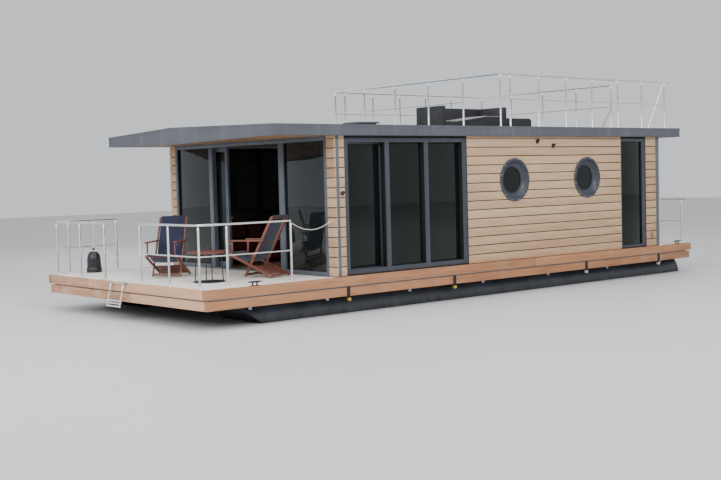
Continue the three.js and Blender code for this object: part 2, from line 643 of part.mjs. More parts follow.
// A rope hangs as a parabola below its chord. Its ends stop just short of what holds them
function hangingRope({ from, to, sag }) {
  const start = new THREE.Vector3(...from);
  const end = new THREE.Vector3(...to);
  const along = end.clone().sub(start).normalize().multiplyScalar(ROPE_END_GAP);
  start.add(along);
  end.sub(along);
  const middle = start.clone().add(end).multiplyScalar(0.5);
  middle.z -= 2 * sag;
  const curve = new THREE.QuadraticBezierCurve3(start, middle, end);
  const section = [];
  for (let i = 0; i < TUBE_SIDES; i += 1) {
    const angle = (i * 2 * Math.PI) / TUBE_SIDES;
    section.push(new THREE.Vector2(ROPE_RADIUS * Math.cos(angle), ROPE_RADIUS * Math.sin(angle)));
  }
  const geometry = new THREE.ExtrudeGeometry(new THREE.Shape(section), {
    steps: Math.round(curve.getLength() / ROPE_STEP),
    extrudePath: curve,
    bevelEnabled: false,
  });
  return solid(geometry);
}

function makeRopes() {
  ROPES.forEach((rope) => add(rope.name, hangingRope(rope), 'rope'));
}

function makeDeckRails() {
  const { x } = TERRACE_RAIL;
  for (const [name, sign] of SIDES) {
    const { y, front, side } = TERRACE_RAIL[name];
    const plan = [[x, front[1]], [x, front[0]], [x, y], [side[0], y], [side[1], y]];
    const posts = plan.map(([px, py]) => [px, sign * py]);
    const gateZ = DECK_Z + FRONT_GATE_HEIGHT;
    const eyeTip = [x, sign * (front[1] - EYE.reach), gateZ];
    const frontEye = bar([x, sign * front[1], gateZ], eyeTip, EYE.radius, 6);
    const eyes = [frontEye, eye([side[1], sign * y, DECK_Z + GATE_HEIGHT], -1)];
    add(`terrace_rail_${name}`, railing([posts[0], posts[2], posts[4]], posts, DECK_RAIL, eyes), 'stainless');
  }
  for (const [name, sign] of SIDES) {
    const posts = STERN_RAIL.y.map((at) => [STERN_RAIL.x, sign * at]);
    const line = [[STERN_RAIL.x, sign * (STERN_RAIL.y[0] + 110)], posts[posts.length - 1]];
    const eyes = [eye([STERN_RAIL.x, sign * STERN_RAIL.y[0], DECK_Z + GATE_HEIGHT], 1)];
    add(`stern_rail_${name}`, railing(line, posts, DECK_RAIL, eyes), 'stainless');
  }
}

const ROOF_RAIL = {
  y: 2330,
  front: fromStern(5680),
  stern: fromStern(1210),
  portPosts: [5420, 4630, 3840, 3050, 2230, 1440, 650].map(fromStern),
  crossPosts: [1400, 470, -470, -1400],
  end: fromStern(480),
};

function makeRoofRails() {
  const { y, front, stern, portPosts, crossPosts, end } = ROOF_RAIL;
  const heights = ROOF_RAIL_HEIGHTS;
  const foot = ROOF_Z + TUBE;
  const addRail = (name, line, posts, extra) => {
    add(`roof_rail_${name}`, railing(line, posts, heights, extra), 'stainless');
  };
  const braceHead = [fromStern(670), y, ROOF_Z + heights.top - TUBE];
  const brace = bar([fromStern(1250), y, foot], braceHead, TUBE * 0.8);
  addRail('port', [[front, y], [end, y]], [front, ...portPosts].map((x) => [x, y]), [brace]);
  const inset = TUBE + 27;
  addRail('front', [[front, y - inset], [front, -y + inset]], crossPosts.map((at) => [front, at]));
  const starboard = [front, ...portPosts.slice(0, 5), stern].map((x) => [x, -y]);
  addRail('starboard', [[front, -y], [stern, -y]], starboard);
  const braceFoot = [stern, crossPosts[0] - 300, foot];
  const sternBrace = bar(braceFoot, [stern, crossPosts[0], ROOF_Z + heights.mid], TUBE * 0.8);
  const sternCross = crossPosts.map((at) => [stern, at]);
  addRail('stern', [[stern, crossPosts[0]], [stern, -y + inset]], sternCross, [sternBrace]);
}

// Ladders: two stringers and round rungs

function ladder(x, y, z, rungs, radius) {
  const stringers = y.map((at) => bar([x[0], at, z[0]], [x[1], at, z[1]], radius));
  const steps = rungs.map((t) => {
    const at = [x[0] + t * (x[1] - x[0]), z[0] + t * (z[1] - z[0])];
    return bar([at[0], y[0], at[1]], [at[0], y[1], at[1]], radius * 0.8);
  });
  return join([...stringers, ...steps]);
}

// The bow ladder is pushed together, so its rungs lie close above its foot. It leans out from the hinge bar
const BOW_LADDER = {
  x: [BOW_X + 116, BOW_X + 30],
  y: [-200, 200],
  z: [DECK_Z - 382, DECK_Z - 13],
  rungs: [0.02, 0.14, 0.245],
  radius: 16,
};
const ROOF_LADDER = { x: fromStern(330), y: [1550, 1950], z: [DECK_Z + GAP, ROOF_Z + 40], radius: 20 };

function makeLadders() {
  const { x, y, z, rungs, radius } = BOW_LADDER;
  const bow = ladder(x, y, z, rungs, radius);
  const hingeBar = bar([x[1], -LUG.y + 2, z[1]], [x[1], LUG.y - 2, z[1]], radius * 0.8);
  add('bow_ladder', join([bow, hingeBar]), 'stainless');
  const steps = [];
  for (let i = 1; i < 8; i += 1) {
    steps.push(i / 8);
  }
  const roofX = [ROOF_LADDER.x, ROOF_LADDER.x];
  const roof = ladder(roofX, ROOF_LADDER.y, ROOF_LADDER.z, steps, ROOF_LADDER.radius);
  add('roof_ladder', roof, 'stainless');
}

// Outboard motor: bracket on the stern, clamp that tilts, body that steers, propeller that turns

const TILT = { x: STERN_X - 430, z: 1000 };
const STEER_X = TILT.x - 70;
const PROP = { z: 300, radius: 115, hub: 32 };
const PROP_X = [STEER_X - 260, STEER_X - 175];
const BRACKET = {
  cheekY: [115, 140],
  cheekZ: [700, 1010],
  plateY: 190,
  plateZ: [640, 910],
  armY: [130, 170],
};
const BRACKET_X = { cheek: [TILT.x - 20, TILT.x + 45], plate: [TILT.x + 40, TILT.x + 80] };
const ARM_END = STERN_X + LOWER_BOARD.set - GAP;
const ARM_Z = [835, 910];

function makeMotor() {
  const parts = [box(BRACKET_X.plate, [-BRACKET.plateY, BRACKET.plateY], BRACKET.plateZ)];
  const root = BRACKET_X.plate[1] - 5;
  for (const [, sign] of SIDES) {
    const [cheekY, armY] = [BRACKET.cheekY, BRACKET.armY].map((y) => span(sign * y[0], sign * y[1]));
    parts.push(box(BRACKET_X.cheek, cheekY, BRACKET.cheekZ));
    parts.push(box([root, ARM_END], armY, ARM_Z));
    parts.push(plate([[root, 660], [root, 740], [ARM_END, ARM_Z[1] - 5], [ARM_END, ARM_Z[0] + 5]], armY));
  }
  add('motor_bracket', join(parts), 'steel');
  const clamp = join([
    bar([TILT.x, -108, TILT.z], [TILT.x, 108, TILT.z], 22, 12),
    box([STEER_X - 10, TILT.x - 19], [-60, 60], [760, 1020]),
    bar([STEER_X, 0, 690], [STEER_X, 0, 1022], 48, 16),
  ]);
  add('motor_clamp', clamp, 'motor');
  add('motor_body', motorBody(), 'motor');
  add('propeller', propeller(), 'blackMetal');
}

// Side outlines of the motor, X from the steering axis and Z from the ground, each with its half width
const MOTOR_PLATES = [
  {
    half: 165,
    outline: [
      [70, 1060], [105, 1130], [108, 1290], [60, 1450],
      [-200, 1480], [-380, 1420], [-400, 1180], [-340, 1060],
    ],
  },
  { half: 38, outline: [[-55, 1065], [-220, 1065], [-200, 460], [-60, 460]] },
  { half: 95, outline: [[-40, 466], [-310, 466], [-310, 450], [-40, 450]] },
  { half: 24, outline: [[-60, 460], [-170, 460], [-165, 300], [-40, 300]] },
  { half: 9, outline: [[-40, 300], [-150, 300], [-150, 130], [-90, 130]] },
];
const GEARCASE = { x: [-170, 20, 95], radius: 48, tip: 14 };
const NECK = { z: [1027, 1062], radius: 40 };

function motorBody() {
  const placedOutline = (outline) => outline.map(([x, z]) => [STEER_X + x, z]);
  const plates = MOTOR_PLATES.map(({ half, outline }) => plate(placedOutline(outline), [-half, half]));
  const [back, shoulder, nose] = GEARCASE.x.map((x) => [STEER_X + x, 0, PROP.z]);
  return join([
    ...plates,
    bar(back, shoulder, GEARCASE.radius, 14),
    bar(shoulder, nose, GEARCASE.radius, 14, GEARCASE.tip),
    bar([STEER_X, 0, NECK.z[0]], [STEER_X, 0, NECK.z[1]], NECK.radius, 14),
  ]);
}

const BLADE = { count: 3, thick: 12, wide: 95, pitch: 0.6 };

function propeller() {
  const hub = bar([PROP_X[0], 0, PROP.z], [PROP_X[1], 0, PROP.z], PROP.hub, 14);
  const blades = [];
  for (let i = 0; i < BLADE.count; i += 1) {
    const geometry = new THREE.BoxGeometry(BLADE.thick, BLADE.wide, PROP.radius - PROP.hub + 10);
    geometry.rotateZ(BLADE.pitch);
    geometry.translate(0, 0, (PROP.radius + PROP.hub - 10) / 2);
    geometry.rotateX((i * 2 * Math.PI) / BLADE.count);
    geometry.translate((PROP_X[0] + PROP_X[1]) / 2, 0, PROP.z);
    blades.push(solid(geometry));
  }
  return join([hub, ...blades]);
}

// Helm inside the fixed starboard bay
const HELM = { x: FRONT_X - 620, y: -1650, deep: 330, half: 350, high: 960 };
const WHEEL = { behind: 70, z: DECK_Z + 860, radius: 170, tube: 13, spokes: 3, spoke: 9, hub: 30 };

function makeHelm() {
  const x = HELM.x - WHEEL.behind;
  const rim = new THREE.TorusGeometry(WHEEL.radius, WHEEL.tube, 6, 20);
  rim.rotateY(Math.PI / 2);
  rim.translate(x, HELM.y, WHEEL.z);
  const parts = [solid(rim), bar([x - 15, HELM.y, WHEEL.z], [HELM.x - 8, HELM.y, WHEEL.z], WHEEL.hub, 14)];
  for (let i = 0; i < WHEEL.spokes; i += 1) {
    const angle = (i * 2 * Math.PI) / WHEEL.spokes;
    const tip = [x, HELM.y + WHEEL.radius * Math.sin(angle), WHEEL.z + WHEEL.radius * Math.cos(angle)];
    parts.push(bar([x, HELM.y, WHEEL.z], tip, WHEEL.spoke, 8));
  }
  add('helm_wheel', join(parts), 'blackMetal');
  const deskY = [HELM.y - HELM.half, HELM.y + HELM.half];
  add('helm_desk', box([HELM.x, HELM.x + HELM.deep], deskY, [DECK_Z + GAP, DECK_Z + HELM.high]), 'inside');
}

// Inside the cabin: a bulkhead with a doorway, a galley block, a berth and a sofa
const BULKHEAD = { x: fromStern(6500), thick: 60, doorY: [250, 1050], doorHigh: 2000 };
const INNER_Y = WALL_Y - WALL_THICK - 20;
const GALLEY = { long: 660, y: [-INNER_Y + 100, 50], high: 900 };
const BERTH = { long: 2000, y: [-INNER_Y + 100, 100], high: 480 };
const SOFA = {
  x: [fromStern(7500), fromStern(9000)],
  y: [-INNER_Y + 60, -INNER_Y + 800],
  seat: 420,
  back: 730,
  backThick: 180,
};

function makeInside() {
  const floor = DECK_Z + GAP;
  const { x, thick, doorY, doorHigh } = BULKHEAD;
  const wall = box([x, x + thick], [-INNER_Y, INNER_Y], WALL_Z);
  const doorway = box([x - 5, x + thick + 5], doorY, [WALL_Z[0] - 1, DECK_Z + doorHigh]);
  const galley = box([x + thick - 1, x + GALLEY.long], GALLEY.y, [floor, floor + GALLEY.high]);
  const berth = box([x - BERTH.long, x + 1], BERTH.y, [floor, floor + BERTH.high]);
  add('cabin_bulkhead', join([wall.subtract(doorway), galley, berth]), 'inside');
  const seat = box(SOFA.x, SOFA.y, [floor, floor + SOFA.seat]);
  const back = box(SOFA.x, [SOFA.y[0], SOFA.y[0] + SOFA.backThick], [floor, floor + SOFA.back]);
  add('sofa', join([seat, back]), 'sofa');
}

// Terrace outfit

// A folding deck chair faces +X from its own middle. Seen from the side, in X and Z: the back legs carry the
// sling's top and run down to the front feet, the seat legs cross them and run down to the rear feet
const CHAIR = { half: 268, rail: 24, wide: 42, slat: 14 };
const BACK_LEG = { top: [-430, 985], foot: [110, 30] };
const SEAT_LEG = { top: [390, 385], foot: [-420, 30] };
const ARM = { x: [-270, 400], z: [592, 620] };
const ARM_STRUT = { foot: [365, 372], top: [350, 602] };
const CHAIR_BARS = [BACK_LEG.top, BACK_LEG.foot, SEAT_LEG.top];
const FOOT_SLATS = 5;

function lerp(a, b, t) {
  return [a[0] + t * (b[0] - a[0]), a[1] + t * (b[1] - a[1])];
}

// A straight slat in the XZ plane, as an outline around its centre line
function slatOutline(from, to, wide) {
  const length = Math.hypot(to[0] - from[0], to[1] - from[1]);
  const across = [((from[1] - to[1]) / length) * wide / 2, ((to[0] - from[0]) / length) * wide / 2];
  const moved = ([x, z], way) => [x + way * across[0], z + way * across[1]];
  return [moved(from, 1), moved(from, -1), moved(to, -1), moved(to, 1)];
}

function chairFrame() {
  const { half, rail, wide, slat } = CHAIR;
  const parts = [];
  for (const [, sign] of SIDES) {
    const outer = span(sign * (half - rail), sign * half);
    const inner = span(sign * (half - 2 * rail), sign * (half - rail + 1));
    parts.push(plate(slatOutline(SEAT_LEG.foot, SEAT_LEG.top, wide), outer));
    parts.push(plate(slatOutline(BACK_LEG.foot, BACK_LEG.top, wide), inner));
    parts.push(plate(slatOutline(ARM_STRUT.foot, ARM_STRUT.top, wide), inner));
    parts.push(box(ARM.x, span(sign * (half - 2 * rail), sign * (half + 10)), ARM.z));
  }
  const slats = [];
  for (let i = 0; i < FOOT_SLATS; i += 1) {
    slats.push(lerp(SEAT_LEG.foot, SEAT_LEG.top, 0.02 + 0.09 * i));
  }
  [...CHAIR_BARS, ...slats].forEach(([x, z]) => {
    parts.push(box([x - 2 * slat, x + 2 * slat], [-half + rail / 2, half - rail / 2], [z - slat, z + slat]));
  });
  return join(parts);
}

// The slung seat, from the top bar down to the seat's front bar
function sling() {
  const width = CHAIR.half - 2 * CHAIR.rail - 8;
  return plate([
    [BACK_LEG.top[0] + 6, BACK_LEG.top[1]], [BACK_LEG.top[0] + 20, BACK_LEG.top[1] + 8],
    [-60, 320], [120, 262], SEAT_LEG.top, [SEAT_LEG.top[0], SEAT_LEG.top[1] - 14], [120, 246], [-72, 306],
  ], [-width, width]);
}

function placed(shape, [x, y, z], turn) {
  return shape.rotate([0, 0, turn]).translate([x, y, z]);
}

const CHAIRS = [
  { name: 'chair_middle', at: [fromStern(11200), -140], turn: 42 },
  { name: 'chair_port', at: [fromStern(10290), 1170], turn: -69 },
];
const CHAIR_FOOT = 9;

// A round table on four slim legs over a flat round base
const TABLE = { x: fromStern(11330), y: 1290, high: 480, thick: 28, radius: 320, base: 250, baseThick: 14 };
const TABLE_LEGS = { radius: 9, high: 200, low: 222, count: 4 };

function makeTable() {
  const floor = DECK_Z + GAP;
  const { x, y, high, thick, radius, base, baseThick } = TABLE;
  const parts = [
    bar([x, y, floor + high - thick], [x, y, floor + high], radius, 24),
    bar([x, y, floor], [x, y, floor + baseThick], base, 24),
  ];
  for (let i = 0; i < TABLE_LEGS.count; i += 1) {
    const angle = ((i + 0.5) * 2 * Math.PI) / TABLE_LEGS.count;
    const at = (r, z) => [x + r * Math.cos(angle), y + r * Math.sin(angle), floor + z];
    parts.push(bar(at(TABLE_LEGS.low, 2), at(TABLE_LEGS.high, high - thick + 2), TABLE_LEGS.radius));
  }
  add('terrace_table', join(parts), 'teak');
}

// Fender: radius and height up its side
const FENDER_PROFILE = [
  [0, 0], [138, 0], [140, 68], [126, 84], [121, 250], [94, 335], [58, 374], [22, 384], [22, FENDER.high],
  [0, FENDER.high],
];

function makeOutfit() {
  const floor = DECK_Z + GAP;
  CHAIRS.forEach(({ name, at, turn }) => {
    const chair = join([chairFrame(), sling()]);
    add(name, placed(chair, [...at, floor - CHAIR_FOOT], turn), 'teak');
  });
  makeTable();
  const fender = new THREE.LatheGeometry(FENDER_PROFILE.map(([r, z]) => new THREE.Vector2(r, z)), 18);
  fender.rotateX(Math.PI / 2);
  fender.translate(FENDER.x, FENDER.y, floor);
  add('fender', solid(fender), 'fender');
}

makeFloats();
makeUnderframe();
makeFascias();
makeDecks();
makeSideWalls();
makePortholes();
makeSternWall();
makeSaloonWindows();
makeSaloonLeaf();
makeAftWindows();
makeFrontWall();
makeRoof();
makeHatch();
makeLounge();
makeDeckRails();
makeRopes();
makeRoofRails();
makeLadders();
makeMotor();
makeHelm();
makeInside();
makeOutfit();

export default boat;
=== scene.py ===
# %% [markdown]
# A houseboat on two round floats. The imported model gives the frame: every node sits at its true place
# in metres, with +X to the bow, +Y to port and +Z up.

# %% Load the boat's frame
import json
import math
import random

import bmesh
import bpy
from mathutils import Matrix, Vector


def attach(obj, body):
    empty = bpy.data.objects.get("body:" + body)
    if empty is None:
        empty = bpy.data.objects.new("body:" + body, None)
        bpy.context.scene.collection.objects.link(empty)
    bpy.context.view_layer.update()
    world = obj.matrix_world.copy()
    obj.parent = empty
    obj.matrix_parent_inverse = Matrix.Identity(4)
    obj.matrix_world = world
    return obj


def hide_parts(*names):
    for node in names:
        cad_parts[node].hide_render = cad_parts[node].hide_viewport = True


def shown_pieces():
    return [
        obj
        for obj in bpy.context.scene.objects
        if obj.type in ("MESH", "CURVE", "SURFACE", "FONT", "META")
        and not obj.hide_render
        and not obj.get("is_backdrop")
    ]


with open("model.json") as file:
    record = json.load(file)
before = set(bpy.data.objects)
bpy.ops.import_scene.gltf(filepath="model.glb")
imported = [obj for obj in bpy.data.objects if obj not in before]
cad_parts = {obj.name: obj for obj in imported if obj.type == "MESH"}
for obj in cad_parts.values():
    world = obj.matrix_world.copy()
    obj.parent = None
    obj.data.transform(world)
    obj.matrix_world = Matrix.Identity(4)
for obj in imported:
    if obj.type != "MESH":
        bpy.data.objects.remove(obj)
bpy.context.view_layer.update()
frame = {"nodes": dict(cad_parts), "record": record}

RECORD = frame["record"]
SLOT_OF = {row["node"]: row["material_slot"] for row in RECORD["subparts"]}

# %% [markdown]
# The main sizes repeat those of the solid model. Lengths along the boat are counted from the stern edge
# of the deck, and `aft` turns such a length into an X in the frame. CLEAR is the hairline that parts keep
# between them.

# %% Main sizes
STERN, BOW = -5.6805, 6.5195
DECK = 1.14
WALL_Y = 2.44
WALL_TOP = 3.38
ROOF = 3.5
FRONT, BACK = 4.0095, -4.6305
WATER = 0.54
CLEAR = 0.0003
SIDES = (("port", 1), ("starboard", -1))
DECK_RAIL, ROOF_RAIL, TUBE = (0.945, 0.465), (1.02, 0.555), 0.017


def aft(length):
    return STERN + length


print("deck from", STERN, "to", BOW, "cabin from", BACK, "to", round(FRONT, 3))

# %% [markdown]
# The camera was solved from the photograph, from deck corners, roof corners, rail posts and window edges.
# It stands off the port bow, a little above the deck, with a slight roll.

# %% Camera
def aim_camera():
    yaw, pitch, roll = -2.2805, -0.0541, -0.0268
    ahead = Vector((math.cos(yaw) * math.cos(pitch), math.sin(yaw) * math.cos(pitch), math.sin(pitch)))
    level = Vector((math.sin(yaw), -math.cos(yaw), 0))
    above = level.cross(ahead)
    across = level * math.cos(roll) + above * math.sin(roll)
    upward = above * math.cos(roll) - level * math.sin(roll)
    lens = bpy.data.cameras.new("photo_camera")
    lens.sensor_width = 36
    lens.lens = 57.596
    lens.clip_end = 200
    camera = bpy.data.objects.new("photo_camera", lens)
    bpy.context.collection.objects.link(camera)
    turn = Matrix((across, upward, -ahead)).transposed().to_4x4()
    camera.matrix_world = Matrix.Translation((15.553, 16.467, 2.705)) @ turn
    bpy.context.scene.camera = camera
    return camera


aim_camera()
print("camera ready")

# %% [markdown]
# Small helpers for meshes. Every finished piece keeps its object at the origin with its place in its
# mesh and rides on a body of the frame.

# %% Helpers for meshes
def piece_from(name, mesh):
    piece = bpy.data.objects.new(name, mesh)
    bpy.context.collection.objects.link(piece)
    return piece


def mesh_from_bm(name, bm, material=None, smooth=None):
    """Closes a bmesh; smooth is the angle in degrees below which faces shade as one."""
    bmesh.ops.recalc_face_normals(bm, faces=bm.faces)
    mesh = bpy.data.meshes.new(name)
    bm.to_mesh(mesh)
    bm.free()
    if material:
        mesh.materials.append(material)
    if smooth is not None:
        mesh.shade_smooth()
        mesh.set_sharp_from_angle(angle=math.radians(smooth))
    return mesh


def piece_from_bm(name, bm, material=None, smooth=None):
    return piece_from(name, mesh_from_bm(name, bm, material, smooth))


def add_box(bm, low, high, bevel=0.0):
    """A block between two corners, with its edges rounded by bevel."""
    made = bmesh.ops.create_cube(bm, size=1.0)["verts"]
    for vert in made:
        for axis in range(3):
            vert.co[axis] = low[axis] if vert.co[axis] < 0 else high[axis]
    if bevel:
        edges = list({edge for vert in made for edge in vert.link_edges})
        bmesh.ops.bevel(bm, geom=edges, offset=bevel, segments=2, affect="EDGES", profile=0.6)


def add_lathe(bm, profile, start, way, sides=32):
    """Turns a profile of (distance along, radius) round the line from start in the direction way."""
    way = Vector(way).normalized()
    side = way.orthogonal().normalized()
    over = way.cross(side)
    rings = []
    for along, radius in profile:
        centre = Vector(start) + way * along
        if radius <= 1e-6:
            rings.append([bm.verts.new(centre)])
            continue
        ring = []
        for k in range(sides):
            angle = 2 * math.pi * k / sides
            ring.append(bm.verts.new(centre + (side * math.cos(angle) + over * math.sin(angle)) * radius))
        rings.append(ring)
    for low, high in zip(rings, rings[1:]):
        for k in range(sides):
            n = (k + 1) % sides
            corners = [low[k % len(low)], low[n % len(low)], high[n % len(high)], high[k % len(high)]]
            corners = [v for i, v in enumerate(corners) if v not in corners[:i]]
            if len(corners) > 2:
                bm.faces.new(corners)
    for ring in (rings[0], rings[-1]):
        if len(ring) > 2:
            bm.faces.new(ring)


def add_rod(bm, start, end, radius, sides=12, end_radius=None):
    """A round bar between two points."""
    start, end = Vector(start), Vector(end)
    radii = (radius, radius if end_radius is None else end_radius)
    add_lathe(bm, [(0, radii[0]), ((end - start).length, radii[1])], start, end - start, sides)


def settle(piece, body="boat", slot=None, stands_for=()):
    """The piece rides on a body and may stand for nodes of the model; slot is not used."""
    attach(piece, body)
    if stands_for:
        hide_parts(*stands_for)
    return piece


def make(name, bm, material, smooth, slot, *nodes, body="boat"):
    """Closes a bmesh into a piece, settled on its body, that may stand for nodes."""
    return settle(piece_from_bm(name, bm, material, smooth), body, slot, nodes)


def join_rings(bm, low, high):
    """Quads between two closed rings of vertices."""
    count = len(low)
    return [bm.faces.new((low[k], low[(k + 1) % count], high[(k + 1) % count],
                          high[k])) for k in range(count)]


def join_rows(bm, rings, closed=False):
    """Quads along a row of rings, and from the last to the first where the row is closed."""
    made = []
    for low, high in zip(rings, rings[1:] + (rings[:1] if closed else [])):
        made += join_rings(bm, low, high)
    return made


def add_slab(bm, outline, y0, y1):
    """A plate between two Y limits from an outline in X and Z."""
    near, far = [[bm.verts.new((x, y, z)) for x, z in outline] for y in (y0, y1)]
    made = [bm.faces.new(near), bm.faces.new(far[::-1])]
    for k in range(len(outline)):
        n = (k + 1) % len(outline)
        made.append(bm.faces.new((near[k], far[k], far[n], near[n])))
    return made


def bevel_faces(bm, faces, offset, segments=2, profile=0.5):
    edges = list({edge for face in faces for edge in face.edges})
    bmesh.ops.bevel(bm, geom=edges, offset=offset, segments=segments, affect="EDGES", profile=profile)


def side_box(bm, sign, x, y, z, bevel=0.0):
    """A block whose Y limits are mirrored by sign."""
    low, high = sorted((sign * y[0], sign * y[1]))
    add_box(bm, (x[0], low, z[0]), (x[1], high, z[1]), bevel)


def triangles(piece):
    return sum(len(face.vertices) - 2 for face in piece.data.polygons)


print("mesh helpers ready")

# %% [markdown]
# Node trees, for shapes and for materials alike, are written as one call per node: `wire` makes a node,
# sets the inputs that are given as values and links those that are given as sockets.

# %% Helper for node trees
def wire(tree, kind, settings=None, **inputs):
    node = tree.nodes.new(kind)
    for key, value in (settings or {}).items():
        setattr(node, key, value)
    for key, value in inputs.items():
        numbered = key[0] == "i" and key[1:].isdigit()
        socket = node.inputs[int(key[1:]) if numbered else key.replace("_", " ")]
        if isinstance(value, bpy.types.NodeSocket):
            tree.links.new(value, socket)
        else:
            socket.default_value = value
    return node


SOCKETS = {float: "NodeSocketFloat", int: "NodeSocketInt", bool: "NodeSocketBool",
           tuple: "NodeSocketVector"}


def maths(tree, operation, first, second):
    return wire(tree, "ShaderNodeMath", {"operation": operation}, i0=first, i1=second).outputs[0]


def open_tree(name, kind, inputs, outputs):
    """A node group with named inputs, each with its default, and named outputs with their socket types."""
    tree = bpy.data.node_groups.new(name, kind)
    for label, value in inputs.items():
        sort = value if isinstance(value, str) else SOCKETS[type(value)]
        socket = tree.interface.new_socket(label, in_out="INPUT", socket_type=sort)
        if not isinstance(value, str):
            socket.default_value = value
    for label, sort in outputs.items():
        tree.interface.new_socket(label, in_out="OUTPUT", socket_type=sort)
    return tree, tree.nodes.new("NodeGroupInput").outputs, tree.nodes.new("NodeGroupOutput").inputs


def grow(tree, name, mesh=None, **values):
    """Runs a geometry tree once on a helper object and returns its result as a plain mesh."""
    helper = piece_from(name + "_helper", mesh or bpy.data.meshes.new(name + "_helper"))
    modifier = helper.modifiers.new("grow", "NODES")
    modifier.node_group = tree
    entries = [item for item in tree.interface.items_tree if item.in_out == "INPUT"]
    identifiers = {item.name: item.identifier for item in entries}
    for label, value in values.items():
        modifier[identifiers[label.replace("_", " ")]] = value
    evaluated = helper.evaluated_get(bpy.context.evaluated_depsgraph_get())
    grown = bpy.data.meshes.new_from_object(evaluated)
    grown.name = name
    bpy.data.objects.remove(helper)
    return grown


print("node helpers ready")
# %% [markdown]
# Effects that several finishes share are shader node groups. `wood_grain` stretches noise along a board
# and adds a tone per board, `mottle` gives patches and fine speckle, and `weathering_and_shade` gives rain
# streaks and a streaked mask towards the foot: grime on steel, painted shade on the floats. Each puts out
# only colours and masks, so the shaders stay in the materials.

# %% Shared shader groups
def make_wood_grain():
    tree, given, out = open_tree(
        "wood_grain", "ShaderNodeTree",
        {"Along": (1.0, 12.0, 12.0), "Light": "NodeSocketColor", "Dark": "NodeSocketColor", "Scale": 3.0,
         "Spread": 0.5},
        {"Color": "NodeSocketColor", "Height": "NodeSocketFloat", "Pores": "NodeSocketFloat"})
    place = wire(tree, "ShaderNodeTexCoord").outputs["Object"]
    tone = wire(tree, "ShaderNodeAttribute", {"attribute_name": "tone"}).outputs["Fac"]
    shift = wire(tree, "ShaderNodeVectorMath", {"operation": "SCALE"}, i0=(7.0, 3.0, 5.0),
                 Scale=tone).outputs[0]
    moved = wire(tree, "ShaderNodeVectorMath", {"operation": "ADD"}, i0=place, i1=shift).outputs[0]
    drawn = wire(tree, "ShaderNodeVectorMath", {"operation": "MULTIPLY"}, i0=moved,
                 i1=given["Along"]).outputs[0]
    bands = wire(tree, "ShaderNodeTexNoise", Vector=drawn, Scale=given["Scale"], Detail=6.0, Distortion=0.6)
    fine = wire(tree, "ShaderNodeVectorMath", {"operation": "SCALE"}, i0=drawn, Scale=9.0).outputs[0]
    pores = wire(tree, "ShaderNodeTexNoise", Vector=fine, Scale=given["Scale"], Detail=3.0)
    grain = wire(tree, "ShaderNodeMath", {"operation": "MULTIPLY_ADD"}, i0=pores.outputs[0], i1=0.35,
                 i2=bands.outputs[0])
    toned = wire(tree, "ShaderNodeMath", {"operation": "MULTIPLY_ADD"}, i0=tone, i1=given["Spread"],
                 i2=grain.outputs[0])
    mask = wire(tree, "ShaderNodeMapRange", Value=toned.outputs[0], From_Min=0.5, From_Max=1.25)
    colour = wire(tree, "ShaderNodeMix", {"data_type": "RGBA"}, i0=mask.outputs[0], i6=given["Light"],
                  i7=given["Dark"])
    tree.links.new(colour.outputs[2], out["Color"])
    tree.links.new(grain.outputs[0], out["Height"])
    tree.links.new(pores.outputs[0], out["Pores"])
    return tree


def make_mottle():
    tree, given, out = open_tree(
        "mottle", "ShaderNodeTree", {"Patch": 2.0, "Speck": 180.0},
        {"Patches": "NodeSocketFloat", "Specks": "NodeSocketFloat"})
    place = wire(tree, "ShaderNodeTexCoord").outputs["Object"]
    patches = wire(tree, "ShaderNodeTexNoise", Vector=place, Scale=given["Patch"], Detail=5.0,
                   Roughness=0.6)
    specks = wire(tree, "ShaderNodeTexNoise", Vector=place, Scale=given["Speck"], Detail=2.0)
    tree.links.new(patches.outputs[0], out["Patches"])
    tree.links.new(specks.outputs[0], out["Specks"])
    return tree


def make_weathering_and_shade():
    tree, given, out = open_tree(
        "weathering_and_shade", "ShaderNodeTree", {"Foot": 0.54, "Reach": 0.3, "Streak": 6.0},
        {"Streaks": "NodeSocketFloat", "Grime And Shade": "NodeSocketFloat"})
    place = wire(tree, "ShaderNodeTexCoord").outputs["Object"]
    tall = wire(tree, "ShaderNodeVectorMath", {"operation": "MULTIPLY"}, i0=place,
                i1=(1.0, 1.0, 0.07)).outputs[0]
    streaks = wire(tree, "ShaderNodeTexNoise", Vector=tall, Scale=given["Streak"], Detail=6.0,
                   Roughness=0.65)
    height = wire(tree, "ShaderNodeSeparateXYZ", Vector=place).outputs[2]
    above = maths(tree, "SUBTRACT", height, given["Foot"])
    fade = maths(tree, "DIVIDE", above, given["Reach"])
    low = wire(tree, "ShaderNodeMapRange", Value=fade, From_Min=1.0, From_Max=0.0).outputs[0]
    # The foot mask serves as grime on steel and as painted shade on the floats.
    grime_and_shade = maths(tree, "MULTIPLY", low, streaks.outputs[0])
    sharp = wire(tree, "ShaderNodeMapRange", Value=streaks.outputs[0], From_Min=0.5,
                 From_Max=0.75).outputs[0]
    tree.links.new(sharp, out["Streaks"])
    tree.links.new(grime_and_shade, out["Grime And Shade"])
    return tree


